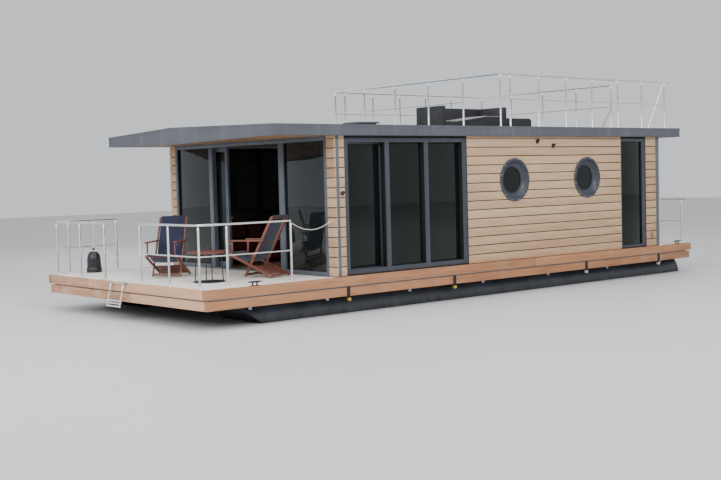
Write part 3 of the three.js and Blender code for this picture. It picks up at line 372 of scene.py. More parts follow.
def make_weave():
    """Over-and-under strands from two crossed waves."""
    tree, given, out = open_tree(
        "weave", "ShaderNodeTree", {"Vector": "NodeSocketVector", "Scale": 100.0},
        {"Height": "NodeSocketFloat"})
    strands = []
    for way in ("X", "Y"):
        wave = wire(tree, "ShaderNodeTexWave", {"bands_direction": way}, Vector=given["Vector"],
                    Scale=given["Scale"])
        strands.append(wave.outputs[1])
    checker = wire(tree, "ShaderNodeTexChecker", Vector=given["Vector"], Scale=given["Scale"])
    checker.inputs["Color1"].default_value = (1, 1, 1, 1)
    checker.inputs["Color2"].default_value = (0, 0, 0, 1)
    over = wire(tree, "ShaderNodeMix", {"data_type": "FLOAT"}, i0=checker.outputs[1], i2=strands[0],
                i3=strands[1])
    tree.links.new(over.outputs[0], out["Height"])
    return tree


GRAIN, MOTTLE, WEATHER_AND_SHADE, WEAVE = make_wood_grain(), make_mottle(), make_weathering_and_shade(), make_weave()
print("shader groups", [tree.name for tree in (GRAIN, MOTTLE, WEATHER_AND_SHADE, WEAVE)])

# %% [markdown]
# A finish is a Principled shader with its own numbers on its sockets and masks from the groups. `blend_by`
# mixes two colours by a mask, and `bump` turns a height into a normal.

# %% Helpers for finishes
def start_finish(name, **sockets):
    material = bpy.data.materials.new(name)
    material.use_nodes = True
    tree = material.node_tree
    shader = tree.nodes["Principled BSDF"]
    for key, value in sockets.items():
        shader.inputs[key.replace("_", " ")].default_value = value
    return material, tree, shader


def group(tree, shared, **inputs):
    node = wire(tree, "ShaderNodeGroup", {"node_tree": shared})
    for key, value in inputs.items():
        node.inputs[key].default_value = value
    return node.outputs


def blend_by(tree, mask, first, second, low=0.0, high=1.0):
    mask = wire(tree, "ShaderNodeMapRange", Value=mask, From_Min=low, From_Max=high).outputs[0]
    return wire(tree, "ShaderNodeMix", {"data_type": "RGBA"}, i0=mask, i6=first, i7=second).outputs[2]


def paint(tree, shader, source):
    tree.links.new(source, shader.inputs["Base Color"])


def bump(tree, shader, height, distance):
    node = wire(tree, "ShaderNodeBump", Height=height, Distance=distance, Strength=1.0)
    tree.links.new(node.outputs[0], shader.inputs["Normal"])


def vary(tree, shader, mask, low, high):
    """Roughness between two values over a mask."""
    spread = wire(tree, "ShaderNodeMapRange", Value=mask, From_Min=0.3, From_Max=0.7, To_Min=low,
                  To_Max=high)
    tree.links.new(spread.outputs[0], shader.inputs["Roughness"])


def colour(*rgb):
    return (*rgb, 1.0)


def darker(rgb, by):
    return (rgb[0] * by, rgb[1] * by, rgb[2] * by, 1.0)


print("finish helpers ready")

# %% [markdown]
# Timber. The edge boards are a reddish softwood with paler worn patches; the boards across the bow are
# painted much lighter, as painted sunlight on that face. The cladding is a pale tan board, the soffit and
# chairs are oiled hardwood. One recipe serves them all; the direction of the grain is an input, because
# boards along the side and boards across the bow carry it differently.

# %% Timber finishes
def timber(name, light, dark, along, rough=(0.5, 0.75), scale=3.0, spread=0.5, worn=None, relief=0.0006):
    material, tree, shader = start_finish(name)
    wood = group(tree, GRAIN, Along=along, Light=light, Dark=dark, Scale=scale, Spread=spread)
    colour_out = wood["Color"]
    if worn:
        patches = group(tree, MOTTLE, Patch=1.7)["Patches"]
        colour_out = blend_by(tree, patches, colour_out, worn, 0.55, 0.85)
    paint(tree, shader, colour_out)
    vary(tree, shader, wood["Pores"], *rough)
    bump(tree, shader, wood["Height"], relief)
    return material


ALONG_X, ALONG_Y = (1.0, 14.0, 14.0), (14.0, 1.0, 14.0)
EDGE_X = timber("edge_board_along", colour(0.50, 0.24, 0.115), colour(0.24, 0.09, 0.04), ALONG_X, scale=1.3,
                worn=colour(0.5, 0.3, 0.17))
# Painted light: a copy of the side boards' timber made much lighter for the sun on the bow face.
EDGE_Y_LIT = timber("edge_board_across_lit", colour(0.74, 0.45, 0.29), colour(0.44, 0.22, 0.12), ALONG_Y, scale=1.3,
                worn=colour(0.76, 0.57, 0.44))
CLAD = colour(0.62, 0.43, 0.27), colour(0.42, 0.255, 0.14)
CLAD_X = timber("cladding_along", *CLAD, ALONG_X, scale=1.6, spread=0.4)
CLAD_Y = timber("cladding_across", *CLAD, ALONG_Y, scale=1.6, spread=0.4)
SOFFIT_WOOD = timber("soffit_boards", colour(0.42, 0.25, 0.13), colour(0.2, 0.1, 0.045), ALONG_X, scale=2.0)
FLOOR_WOOD = timber("floor_boards", colour(0.38, 0.25, 0.145), colour(0.2, 0.115, 0.06), ALONG_X,
                    (0.3, 0.5), 2.0)
TEAK = timber("oiled_teak", colour(0.21, 0.07, 0.045), colour(0.085, 0.027, 0.018), (6.0, 6.0, 6.0),
              (0.35, 0.55), 4.0)
print("timber finishes ready")

# %% [markdown]
# Metals and plastics. The frames are powder coated in a blue-grey with a fine orange peel, the roof edge
# is folded sheet in the same family, rails are polished stainless tube, and the floats are sun-bleached
# black polyethylene with painted shade that darkens them towards the waterline.

# %% Metal and plastic finishes
def powder_coat(name, base, rough=(0.32, 0.45), metallic=0.0, dust=colour(0.3, 0.31, 0.32), peel=0.00012):
    material, tree, shader = start_finish(name, Metallic=metallic, Coat_Weight=0.15, Coat_Roughness=0.3)
    marks = group(tree, MOTTLE, Patch=1.3, Speck=420.0)
    weather_and_shade = group(tree, WEATHER_AND_SHADE, Foot=1.0, Reach=1.0, Streak=5.0)
    clean = blend_by(tree, marks["Patches"], base, darker(base, 0.82), 0.35, 0.65)
    mask = maths(tree, "MULTIPLY", weather_and_shade["Streaks"], 0.16)
    paint(tree, shader, blend_by(tree, mask, clean, dust))
    vary(tree, shader, marks["Patches"], *rough)
    bump(tree, shader, marks["Specks"], peel)
    return material


def make_zinc():
    material, tree, shader = start_finish("galvanised_steel", Metallic=0.85)
    place = wire(tree, "ShaderNodeTexCoord").outputs["Object"]
    flakes = wire(tree, "ShaderNodeTexVoronoi", Vector=place, Scale=55.0)
    weather_and_shade = group(tree, WEATHER_AND_SHADE, Foot=0.54, Reach=0.5, Streak=9.0)
    zinc = blend_by(tree, flakes.outputs["Color"], colour(0.32, 0.34, 0.36), colour(0.55, 0.57, 0.59))
    paint(tree, shader, blend_by(tree, weather_and_shade["Grime And Shade"], zinc, colour(0.12, 0.11, 0.08), 0.2, 0.9))
    vary(tree, shader, flakes.outputs["Distance"], 0.35, 0.6)
    return material


def make_float_plastic():
    material, tree, shader = start_finish("float_polyethylene", Specular_IOR_Level=0.45)
    marks = group(tree, MOTTLE, Patch=3.0, Speck=240.0)
    weather_and_shade = group(tree, WEATHER_AND_SHADE, Foot=0.5, Reach=0.2, Streak=7.0)
    base = blend_by(tree, marks["Patches"], colour(0.03, 0.034, 0.044), colour(0.058, 0.064, 0.078), 0.35,
                    0.7)
    # Painted shade: near-black towards the waterline, standing in for the dark water the float reflects.
    paint(tree, shader, blend_by(tree, weather_and_shade["Grime And Shade"], base, colour(0.004, 0.005, 0.006), 0.04, 0.4))
    vary(tree, shader, marks["Patches"], 0.28, 0.5)
    bump(tree, shader, marks["Specks"], 0.0002)
    return material


def moulded(name, base, rough=(0.4, 0.6), speck=300.0, relief=0.00015, fleck=0.8, patch=4.0, low=0.35,
            **sockets):
    """fleck is how dark the patches are, and low the mask's value where they begin."""
    material, tree, shader = start_finish(name, **sockets)
    marks = group(tree, MOTTLE, Patch=patch, Speck=speck)
    paint(tree, shader, blend_by(tree, marks["Patches"], base, darker(base, fleck), low, 0.7))
    vary(tree, shader, marks["Patches"], *rough)
    bump(tree, shader, marks["Specks"], relief)
    return material


FRAME_GREY = powder_coat("frame_powder_coat", colour(0.095, 0.115, 0.145))
FRAME_NAVY = powder_coat("side_frame_powder_coat", colour(0.036, 0.043, 0.06),
                         dust=colour(0.12, 0.13, 0.15))
ROOF_GREY = powder_coat("roof_sheet", colour(0.085, 0.092, 0.11), (0.4, 0.55))
MEMBRANE = moulded("roof_membrane", colour(0.10, 0.11, 0.12), (0.6, 0.8), 160.0, 0.0004)
STAINLESS = moulded("stainless_tube", colour(0.9, 0.905, 0.9), (0.12, 0.26), 600.0, 0.00004, 0.85, 7.0, 0.4,
                    Metallic=1.0)
BLACK_METAL = powder_coat("black_enamel", colour(0.012, 0.012, 0.014), (0.35, 0.5))
ZINC = make_zinc()
FLOAT_PE = make_float_plastic()
GASKET = moulded("gasket_rubber", colour(0.012, 0.012, 0.013), (0.55, 0.7))
FENDER_RUBBER = moulded("fender_rubber", colour(0.014, 0.016, 0.02), (0.3, 0.5))
WHITE_BOARD = moulded("white_lining", colour(0.66, 0.64, 0.6), (0.45, 0.6), 500.0, 0.00005, 0.94)
COWL = powder_coat("motor_cowl", colour(0.012, 0.014, 0.018), (0.12, 0.25), peel=0.00003)
# Near-black sheet under deck boards and behind cladding: painted shade seen through the gaps.
SHADE_UNDERLAY = moulded("painted_shade_underlay", colour(0.012, 0.011, 0.011), (0.8, 0.95))
print("metal and plastic finishes ready")

# %% [markdown]
# Glass. By day the side panes read as almost black, because the cabin behind is dark and the glass is
# tinted. The front panes mirror the sky a little more. A near-black base with partial alpha keeps the cabin
# dimly in view; the base is partly the tint and partly painted shade for the dark cabin, darker in patches,
# and a slight waviness breaks up the mirror image as real sheets do.

# %% Glass finish
def tinted_glass(name, tint, alpha, mirror):
    material, tree, shader = start_finish(name, Roughness=0.03, IOR=1.52, Alpha=alpha,
                                          Specular_IOR_Level=mirror)
    marks = group(tree, MOTTLE, Patch=0.9, Speck=2.2)
    # The near-black base colour is partly tint and partly painted shade of the dark cabin behind.
    paint(tree, shader, blend_by(tree, marks["Patches"], tint, darker(tint, 0.6), 0.3, 0.7))
    bump(tree, shader, marks["Specks"], 0.0006)
    return material


SIDE_GLASS = tinted_glass("side_glass", colour(0.006, 0.009, 0.008), 0.95, 0.28)
FRONT_GLASS = tinted_glass("front_glass", colour(0.012, 0.018, 0.018), 0.72, 0.7)
print("glass ready")

# %% [markdown]
# Cloth, rope and rattan. Rope follows its own UV map, strands twisting round; slings and cushions carry a
# weave on object coordinates or on the piece's UV map, so that it keeps its scale.

# %% Soft finishes
def cloth(name, base, scale, by_uv=False, rough=(0.8, 0.95), sheen=0.25, relief=0.0004, fade=0.75):
    material, tree, shader = start_finish(name, Sheen_Weight=sheen, Sheen_Roughness=0.5)
    marks = group(tree, MOTTLE, Patch=5.0, Speck=700.0)
    place = wire(tree, "ShaderNodeTexCoord").outputs["UV" if by_uv else "Object"]
    strands = wire(tree, "ShaderNodeGroup", {"node_tree": WEAVE}, Vector=place,
                   Scale=scale).outputs["Height"]
    patched = blend_by(tree, marks["Patches"], base, darker(base, fade), 0.35, 0.7)
    paint(tree, shader, blend_by(tree, strands, darker(base, 0.55), patched, 0.0, 0.6))
    vary(tree, shader, marks["Patches"], *rough)
    bump(tree, shader, strands, relief)
    return material


def make_rope():
    material, tree, shader = start_finish("pale_rope", Sheen_Weight=0.2)
    place = wire(tree, "ShaderNodeTexCoord").outputs["UV"]
    turned = wire(tree, "ShaderNodeMapping", Vector=place, Rotation=(0, 0, 0.6),
                  Scale=(900.0, 60.0, 1.0)).outputs[0]
    yarn = wire(tree, "ShaderNodeTexWave", Vector=turned, Scale=1.0, Distortion=0.5)
    paint(tree, shader, blend_by(tree, yarn.outputs[1], colour(0.5, 0.47, 0.4), colour(0.78, 0.76, 0.7)))
    shader.inputs["Roughness"].default_value = 0.8
    bump(tree, shader, yarn.outputs[1], 0.0004)
    return material


def make_leather():
    material, tree, shader = start_finish("sofa_leather", Coat_Weight=0.08)
    place = wire(tree, "ShaderNodeTexCoord").outputs["Object"]
    cells = wire(tree, "ShaderNodeTexVoronoi", {"feature": "DISTANCE_TO_EDGE"}, Vector=place, Scale=260.0)
    marks = group(tree, MOTTLE, Patch=5.0)
    red = blend_by(tree, marks["Patches"], colour(0.16, 0.018, 0.014), colour(0.075, 0.01, 0.01), 0.35, 0.7)
    paint(tree, shader, red)
    vary(tree, shader, marks["Patches"], 0.32, 0.5)
    bump(tree, shader, cells.outputs[0], 0.0006)
    return material


SLING = cloth("navy_sling", colour(0.01, 0.013, 0.05), 260.0, by_uv=True)
CUSHION = cloth("cushion_cloth", colour(0.075, 0.068, 0.064), 420.0)
PAD_CLOTH = cloth("pad_cloth", colour(0.2, 0.2, 0.205), 420.0)
LINEN = cloth("berth_linen", colour(0.55, 0.53, 0.49), 500.0)
ROPE, LEATHER = make_rope(), make_leather()
print("soft finishes ready")
# %% [markdown]
# Three slack ropes close the gaps in the rails and a short taut line holds the fender. Each is one length
# of 12 mm rope. The route repeats the solid model's points: a parabola that sags below its chord. The
# tube has three lobes that turn along the rope, as three laid strands do, and a UV map that follows them.

# %% Ropes
ROPE_D = 0.012
GATE_Y = 2.34
TERRACE_X, STERN_RAIL_X = BOW - 0.11, STERN + 0.1
TERRACE = {"port": (2.2, (1.36, 0.52), (aft(11.595), aft(10.4))),
           "starboard": (2.35, (1.49, 0.64), (aft(11.87), aft(10.925)))}
FENDER_X, FENDER_Y = aft(11.435), -2.27
ROPES = {
    "gate_rope_front": ((TERRACE_X, -0.606, DECK + 0.465), (TERRACE_X, 0.486, DECK + 0.465), 0.1),
    "gate_rope_side": ((aft(10.4) - 0.034, 2.2, DECK + 0.88), (FRONT + 0.034, GATE_Y, DECK + 0.88), 0.11),
    "gate_rope_stern": ((STERN_RAIL_X + 0.034, GATE_Y, DECK + 0.88), (BACK - 0.034, GATE_Y, DECK + 0.88),
                        0.13),
    "fender_line": ((FENDER_X - 0.06, -2.35, DECK + 0.911), (FENDER_X, FENDER_Y, DECK + 0.4403), 0.012),
}


def hanging_points(start, end, sag, count=33):
    start, end = Vector(start), Vector(end)
    inset = (end - start).normalized() * 0.0039
    start, end = start + inset, end - inset
    middle = (start + end) / 2 - Vector((0, 0, 2 * sag))
    points = []
    for k in range(count):
        t = k / (count - 1)
        points.append(start * (1 - t) ** 2 + middle * 2 * t * (1 - t) + end * t * t)
    return points


def laid_rope(name, points, diameter, material, lay=0.045, sides=18):
    """A closed tube round the points with three lobes that turn once in three lays."""
    fine = []
    for a, b in zip(points, points[1:]):
        steps = max(1, round((b - a).length / 0.008))
        fine += [a.lerp(b, k / steps) for k in range(steps)]
    fine.append(points[-1])
    bm = bmesh.new()
    uv = bm.loops.layers.uv.new("UVMap")
    rings, run = [], 0.0
    for k, point in enumerate(fine):
        if k:
            run += (point - fine[k - 1]).length
        ahead = (fine[min(k + 1, len(fine) - 1)] - fine[max(k - 1, 0)]).normalized()
        side = ahead.cross(Vector((0, 0, 1))).normalized()
        over = side.cross(ahead)
        ring = []
        for j in range(sides):
            angle = 2 * math.pi * j / sides
            lobe = abs(math.cos(1.5 * (angle - 2 * math.pi * run / lay)))
            reach = diameter / 2 * (0.8 + 0.2 * lobe)
            ring.append(bm.verts.new(point + (side * math.cos(angle) + over * math.sin(angle)) * reach))
        rings.append((ring, run))
    for (low, run_low), (high, run_high) in zip(rings, rings[1:]):
        for j in range(sides):
            face = bm.faces.new((low[j], low[(j + 1) % sides], high[(j + 1) % sides], high[j]))
            round_low, round_high = j / sides * diameter * math.pi, (j + 1) / sides * diameter * math.pi
            spots = ((round_low, run_low), (round_high, run_low), (round_high, run_high),
                     (round_low, run_high))
            for loop, spot in zip(face.loops, spots):
                loop[uv].uv = spot
    bm.faces.new(rings[0][0])
    bm.faces.new(rings[-1][0])
    return piece_from_bm(name, bm, material, smooth=60)


for rope_name, (start, end, sag) in ROPES.items():
    route = hanging_points(start, end, sag)
    rope = laid_rope(rope_name + "_laid", route, ROPE_D, ROPE)
    settle(rope, "boat", "rope", (rope_name,))
    long = sum((b - a).length for a, b in zip(route, route[1:]))
    print(rope_name, round(long, 3), "m", triangles(rope), "triangles")

# %% [markdown]
# What repeats is made by geometry trees. `board_row` lays boards side by side, each with its own tone;
# `round_tubes` follows the edges of a line drawing with a tube that rounds its corners; `fasteners` sets
# a bolt or screw on each point of a cloud, facing the way the point says; `rings` repeats a bead.

# %% Trees for boards, tubes, fasteners and rings
GEO = "NodeSocketGeometry"


def end_tree(tree, shape, given, out, smooth=False):
    real = wire(tree, "GeometryNodeRealizeInstances", Geometry=shape).outputs[0]
    if smooth:
        real = wire(tree, "GeometryNodeSetShadeSmooth", Geometry=real, Shade_Smooth=True).outputs[0]
    done = wire(tree, "GeometryNodeSetMaterial", Geometry=real, Material=given["Material"])
    tree.links.new(done.outputs[0], out["Geometry"])
    return tree


def make_board_row():
    tree, given, out = open_tree("board_row", "GeometryNodeTree", {
        "Geometry": GEO, "Count": 10, "First": (0.0, 0.0, 0.0), "Step": (0.0, 0.15, 0.0), "Long": 1.0,
        "Wide": 0.14, "Thick": 0.02, "Round": 0.002, "Turn": (0.0, 0.0, 0.0), "Seed": 1,
        "Material": "NodeSocketMaterial"},
        {"Geometry": GEO})
    half = maths(tree, "MULTIPLY", given["Long"], 0.5)
    back = maths(tree, "MULTIPLY", given["Long"], -0.5)
    start = wire(tree, "ShaderNodeCombineXYZ", X=back).outputs[0]
    end = wire(tree, "ShaderNodeCombineXYZ", X=half).outputs[0]
    line = wire(tree, "GeometryNodeCurvePrimitiveLine", Start=start, End=end).outputs[0]
    section = wire(tree, "GeometryNodeCurvePrimitiveQuadrilateral", Width=given["Wide"],
                   Height=given["Thick"]).outputs[0]
    rounded = wire(tree, "GeometryNodeFilletCurve", {"mode": "POLY"}, Curve=section, Radius=given["Round"],
                   Count=2)
    board = wire(tree, "GeometryNodeCurveToMesh", Curve=line, Profile_Curve=rounded.outputs[0],
                 Fill_Caps=True)
    spots = wire(tree, "GeometryNodeMeshLine", {"mode": "OFFSET"}, Count=given["Count"],
                 Start_Location=given["First"],
                 Offset=given["Step"])
    row = wire(tree, "GeometryNodeInstanceOnPoints", Points=spots.outputs[0], Instance=board.outputs[0],
               Rotation=given["Turn"]).outputs[0]
    tone = wire(tree, "FunctionNodeRandomValue", {"data_type": "FLOAT"}, Seed=given["Seed"])
    toned = wire(tree, "GeometryNodeStoreNamedAttribute", {"data_type": "FLOAT", "domain": "INSTANCE"},
                 Geometry=row, Name="tone", Value=tone.outputs[1]).outputs[0]
    return end_tree(tree, toned, given, out)


def make_round_tubes():
    tree, given, out = open_tree("round_tubes", "GeometryNodeTree", {
        "Geometry": GEO, "Radius": 0.017, "Corner": 0.05, "Sides": 16, "Material": "NodeSocketMaterial"},
        {"Geometry": GEO})
    lines = wire(tree, "GeometryNodeMeshToCurve", Mesh=given["Geometry"]).outputs[0]
    bent = wire(tree, "GeometryNodeFilletCurve", {"mode": "POLY"}, Curve=lines, Radius=given["Corner"],
                Count=7, Limit_Radius=True).outputs[0]
    circle = wire(tree, "GeometryNodeCurvePrimitiveCircle", Resolution=given["Sides"],
                  Radius=given["Radius"]).outputs[0]
    tube = wire(tree, "GeometryNodeCurveToMesh", Curve=bent, Profile_Curve=circle,
                Fill_Caps=True).outputs[0]
    return end_tree(tree, tube, given, out)


def make_fasteners():
    """Head and washer stand on the point; the point's `way` is the direction they face."""
    tree, given, out = open_tree("fasteners", "GeometryNodeTree", {
        "Geometry": GEO, "Radius": 0.006, "Sides": 6, "Material": "NodeSocketMaterial"}, {"Geometry": GEO})
    tall = maths(tree, "MULTIPLY", given["Radius"], 0.9)
    thin = maths(tree, "MULTIPLY", given["Radius"], 0.3)
    wide = maths(tree, "MULTIPLY", given["Radius"], 1.5)
    head = wire(tree, "GeometryNodeMeshCylinder", Vertices=given["Sides"], Radius=given["Radius"],
                Depth=tall)
    washer = wire(tree, "GeometryNodeMeshCylinder", Vertices=14, Radius=wide, Depth=thin)
    lift = maths(tree, "MULTIPLY", given["Radius"], 0.45)
    raised = wire(tree, "GeometryNodeTransform", Geometry=head.outputs[0],
                  Translation=wire(tree, "ShaderNodeCombineXYZ", Z=lift).outputs[0])
    both = wire(tree, "GeometryNodeJoinGeometry")
    tree.links.new(raised.outputs[0], both.inputs[0])
    tree.links.new(washer.outputs[0], both.inputs[0])
    way = wire(tree, "GeometryNodeInputNamedAttribute", {"data_type": "FLOAT_VECTOR"},
               Name="way").outputs[0]
    facing = wire(tree, "FunctionNodeAlignRotationToVector", {"axis": "Z"}, Vector=way).outputs[0]
    placed = wire(tree, "GeometryNodeInstanceOnPoints", Points=given["Geometry"], Instance=both.outputs[0],
                  Rotation=facing)
    return end_tree(tree, placed.outputs[0], given, out)


def make_rings():
    tree, given, out = open_tree("rings", "GeometryNodeTree", {
        "Geometry": GEO, "Count": 5, "First": (0.0, 0.0, 0.0), "Step": (1.0, 0.0, 0.0), "Radius": 0.5,
        "Bead": 0.008, "Turn": (0.0, 1.5707963, 0.0), "Material": "NodeSocketMaterial"}, {"Geometry": GEO})
    circle = wire(tree, "GeometryNodeCurvePrimitiveCircle", Resolution=72,
                  Radius=given["Radius"]).outputs[0]
    bead = wire(tree, "GeometryNodeCurvePrimitiveCircle", Resolution=8, Radius=given["Bead"]).outputs[0]
    ring = wire(tree, "GeometryNodeCurveToMesh", Curve=circle, Profile_Curve=bead).outputs[0]
    spots = wire(tree, "GeometryNodeMeshLine", {"mode": "OFFSET"}, Count=given["Count"],
                 Start_Location=given["First"],
                 Offset=given["Step"])
    row = wire(tree, "GeometryNodeInstanceOnPoints", Points=spots.outputs[0], Instance=ring,
               Rotation=given["Turn"])
    return end_tree(tree, row.outputs[0], given, out, smooth=True)


BOARD_ROW, ROUND_TUBES = make_board_row(), make_round_tubes()
FASTENERS, RINGS = make_fasteners(), make_rings()


def line_mesh(name, runs):
    """Polylines as a mesh of edges, for round_tubes."""
    verts, edges = [], []
    for run in runs:
        edges += [(len(verts) + k, len(verts) + k + 1) for k in range(len(run) - 1)]
        verts += [tuple(p) for p in run]
    mesh = bpy.data.meshes.new(name)
    mesh.from_pydata(verts, edges, [])
    return mesh


def tubes(name, runs, radius, material, corner=0.05, sides=16):
    mesh = grow(ROUND_TUBES, name, line_mesh(name + "_lines", runs), Radius=radius, Corner=corner,
                Sides=sides, Material=material)
    mesh.shade_smooth()
    mesh.set_sharp_from_angle(angle=math.radians(50))
    return mesh


def fasteners(name, spots, radius, material, sides=6):
    """spots is a list of (point, facing direction)."""
    mesh = bpy.data.meshes.new(name + "_spots")
    mesh.from_pydata([tuple(point) for point, _ in spots], [], [])
    ways = mesh.attributes.new("way", "FLOAT_VECTOR", "POINT")
    for k, (_, way) in enumerate(spots):
        ways.data[k].vector = way
    return grow(FASTENERS, name, mesh, Radius=radius, Sides=sides, Material=material)


def boards(name, count, first, step, long, wide, thick, material, turn=(0, 0, 0), seed=1, round=0.003):
    return grow(BOARD_ROW, name, Count=count, First=first, Step=step, Long=long, Wide=wide, Thick=thick,
                Round=round, Turn=turn, Seed=seed, Material=material)


def merge(name, meshes):
    """One piece from several meshes. Materials and the tone of each board are kept."""
    bm = bmesh.new()
    materials = []
    for mesh in meshes:
        start = len(bm.faces)
        bm.from_mesh(mesh)
        bm.faces.ensure_lookup_table()
        slots = []
        for material in mesh.materials:
            if material not in materials:
                materials.append(material)
            slots.append(materials.index(material))
        for face in bm.faces[start:]:
            face.material_index = slots[face.material_index] if slots else 0
    joined = bpy.data.meshes.new(name)
    bm.to_mesh(joined)
    bm.free()
    for material in materials:
        joined.materials.append(material)
    return piece_from(name, joined)


print("trees", [tree.name for tree in (BOARD_ROW, ROUND_TUBES, FASTENERS, RINGS)])
# %% [markdown]
# The floats are black polyethylene pipes, 1 m across, cut at the bow on a long rake and closed with a
# welded plate. The pipe is one round bar cut by the plane of the rake; its welds are beads from the ring
# tree. Above the water the plastic is sun-bleached; towards the waterline painted shade darkens it.

# %% Floats
FLOAT_R, FLOAT_Y = 0.5, 1.8
FLOAT_AFT, RAKE_TOP, RAKE_FOOT = aft(0.14), aft(11.65), aft(10.35)


def make_float(name, y):
    bm = bmesh.new()
    cap = [(0, 0), (0, 0.44), (0.006, 0.47), (0.016, 0.49), (0.03, FLOAT_R)]
    add_lathe(bm, cap + [(RAKE_TOP - FLOAT_AFT + 0.02, FLOAT_R)], (FLOAT_AFT, y, FLOAT_R), (1, 0, 0),
              sides=80)
    plane = Vector((1.0, 0, -(RAKE_TOP - RAKE_FOOT))).normalized()
    faces = list(bm.faces) + list(bm.edges) + list(bm.verts)
    bmesh.ops.bisect_plane(bm, geom=faces, plane_co=(RAKE_FOOT, y, 0), plane_no=plane, clear_outer=True)
    rim = [edge for edge in bm.edges if edge.is_boundary]
    bmesh.ops.contextual_create(bm, geom=rim)
    pipe = make(name + "_pipe", bm, FLOAT_PE, 35, "float_plastic", name)
    beads = grow(RINGS, name + "_beads", Count=9, First=(aft(1.35), y, FLOAT_R), Step=(1.2, 0, 0),
                 Radius=FLOAT_R - 0.002, Bead=0.009, Material=FLOAT_PE)
    seam = []
    for k in range(73):
        angle = 2 * math.pi * k / 72
        z = FLOAT_R + (FLOAT_R - 0.004) * math.cos(angle)
        seam.append((RAKE_FOOT + (RAKE_TOP - RAKE_FOOT) * z - 0.003,
                     y + (FLOAT_R - 0.004) * math.sin(angle), z))
    rim_bead = tubes(name + "_rake_bead", [seam], 0.011, FLOAT_PE, corner=0.0, sides=8)
    settle(merge(name + "_welds", [beads, rim_bead]), "boat", "float_plastic")
    return pipe


for side, y in (("port", FLOAT_Y), ("starboard", -FLOAT_Y)):
    made = make_float("float_" + side, y)
    print(made.name, triangles(made), "triangles")

# %% [markdown]
# Four clips a side sit on the lower edge board: a dark plate with two bars, and below it a yellow or white
# cap that ends a tie rod.

# %% Clips
CAP_YELLOW = moulded("yellow_cap", colour(0.75, 0.5, 0.04))
CAP_WHITE = moulded("white_cap", colour(0.75, 0.75, 0.72))
CLIPS = [(9.494, CAP_YELLOW), (7.1, CAP_YELLOW), (3.49, CAP_WHITE), (1.13, CAP_WHITE)]


def make_clips():
    plates = bmesh.new()
    for length, cap in CLIPS:
        x = aft(length)
        knobs = bmesh.new()
        for sign in (1, -1):
            side_box(plates, sign, (x - 0.035, x + 0.035), (2.4752, 2.4795), (0.825, 0.972), 0.001)
            for dx in (-0.022, 0.022):
                side_box(plates, sign, (x + dx - 0.006, x + dx + 0.006), (2.4796, 2.4875), (0.8, 0.985),
                         0.002)
            add_rod(plates, (x - 0.05, sign * 2.4, 0.775), (x - 0.05, sign * 2.25, 0.79), 0.009, 14)
            profile = [(0, 0), (0.002, 0.022), (0.008, 0.028), (0.05, 0.03), (0.06, 0.026), (0.062, 0.01)]
            add_lathe(knobs, profile, (x - 0.05, sign * 2.455, 0.772), (0, -sign, 0.08), 24)
        make("tie_cap_" + str(round(length * 100)), knobs, cap, 40, "galvanised")
    clips = make("tie_clips", plates, BLACK_METAL, 30, "black_metal")
    return triangles(clips)


print("clips", make_clips(), "triangles")

# %% [markdown]
# The deck's edge is two timber boards one above the other with a dark gap between them, the lower one set
# back a little. Boards are separate lengths butted together, and each takes its own tone. Countersunk
# screws in pairs hold them to the steel frame behind.

# %% Edge boards
HALF_BEAM = 2.5
UPPER = {"low": DECK - 0.145, "high": DECK, "thick": 0.07, "set": 0.0}
LOWER = {"low": DECK - 0.31, "high": DECK - 0.17, "thick": 0.045, "set": 0.025}
SIDE_JOINTS = [STERN, aft(1.0), aft(5.0), aft(9.1), BOW]


def tone_faces(bm, start, value):
    layer = bm.faces.layers.float.get("tone") or bm.faces.layers.float.new("tone")
    bm.faces.ensure_lookup_table()
    for face in bm.faces[start:]:
        face[layer] = value


def make_edge(name, board, joints, seed, ends):
    rng = random.Random(seed)
    bm = bmesh.new()
    bm.faces.layers.float.new("tone")
    low, high, thick, inset = board["low"], board["high"], board["thick"], board["set"]
    limits = [joints[0] + inset] + joints[1:-1] + [joints[-1] - inset]
    for sign in (1, -1):
        outer, inner = sign * (HALF_BEAM - inset), sign * (HALF_BEAM - inset - thick)
        for x0, x1 in zip(limits, limits[1:]):
            start = len(bm.faces)
            add_box(bm, (x0 + 0.001, min(outer, inner), low), (x1 - 0.001, max(outer, inner), high), 0.004)
            tone_faces(bm, start, rng.random())
    sides = piece_from_bm(name + "_sides", bm, EDGE_X, smooth=30)
    bm = bmesh.new()
    bm.faces.layers.float.new("tone")
    reach = HALF_BEAM - inset - thick - 0.001
    for x, way in ((BOW - inset, -1), (STERN + inset, 1)):
        cuts = [-reach, ends * (0.2 if way > 0 else -0.3), reach]
        for y0, y1 in zip(cuts, cuts[1:]):
            start = len(bm.faces)
            add_box(bm, (min(x, x + way * thick), y0 + 0.001, low),
                    (max(x, x + way * thick), y1 - 0.001, high), 0.004)
            tone_faces(bm, start, rng.random())
    across = piece_from_bm(name + "_ends", bm, EDGE_Y_LIT, smooth=30)
    settle(sides, "boat", "edge_timber", (name,))
    settle(across, "boat", "edge_timber", (name,))
    return triangles(sides) + triangles(across)


print("upper edge", make_edge("fascia_upper", UPPER, SIDE_JOINTS, 4, 1.0), "triangles")
print("lower edge", make_edge("fascia_lower", LOWER, [STERN, aft(2.9), aft(7.2), BOW], 9, -1.0),
      "triangles")


def edge_screws():
    spots = []
    for board in (UPPER, LOWER):
        face = HALF_BEAM - board["set"]
        heights = (board["low"] + 0.035, board["high"] - 0.035)
        x = STERN + 0.12
        while x < BOW - 0.1:
            spots += [((x, sign * face, z), (0, sign, 0)) for sign in (1, -1) for z in heights]
            x += 0.6
        y = -2.3
        while y < 2.35:
            spots += [((BOW - board["set"], y, z), (1, 0, 0)) for z in heights]
            spots += [((STERN + board["set"], y, z), (-1, 0, 0)) for z in heights if abs(y) > 0.3]
            y += 0.575
    return spots


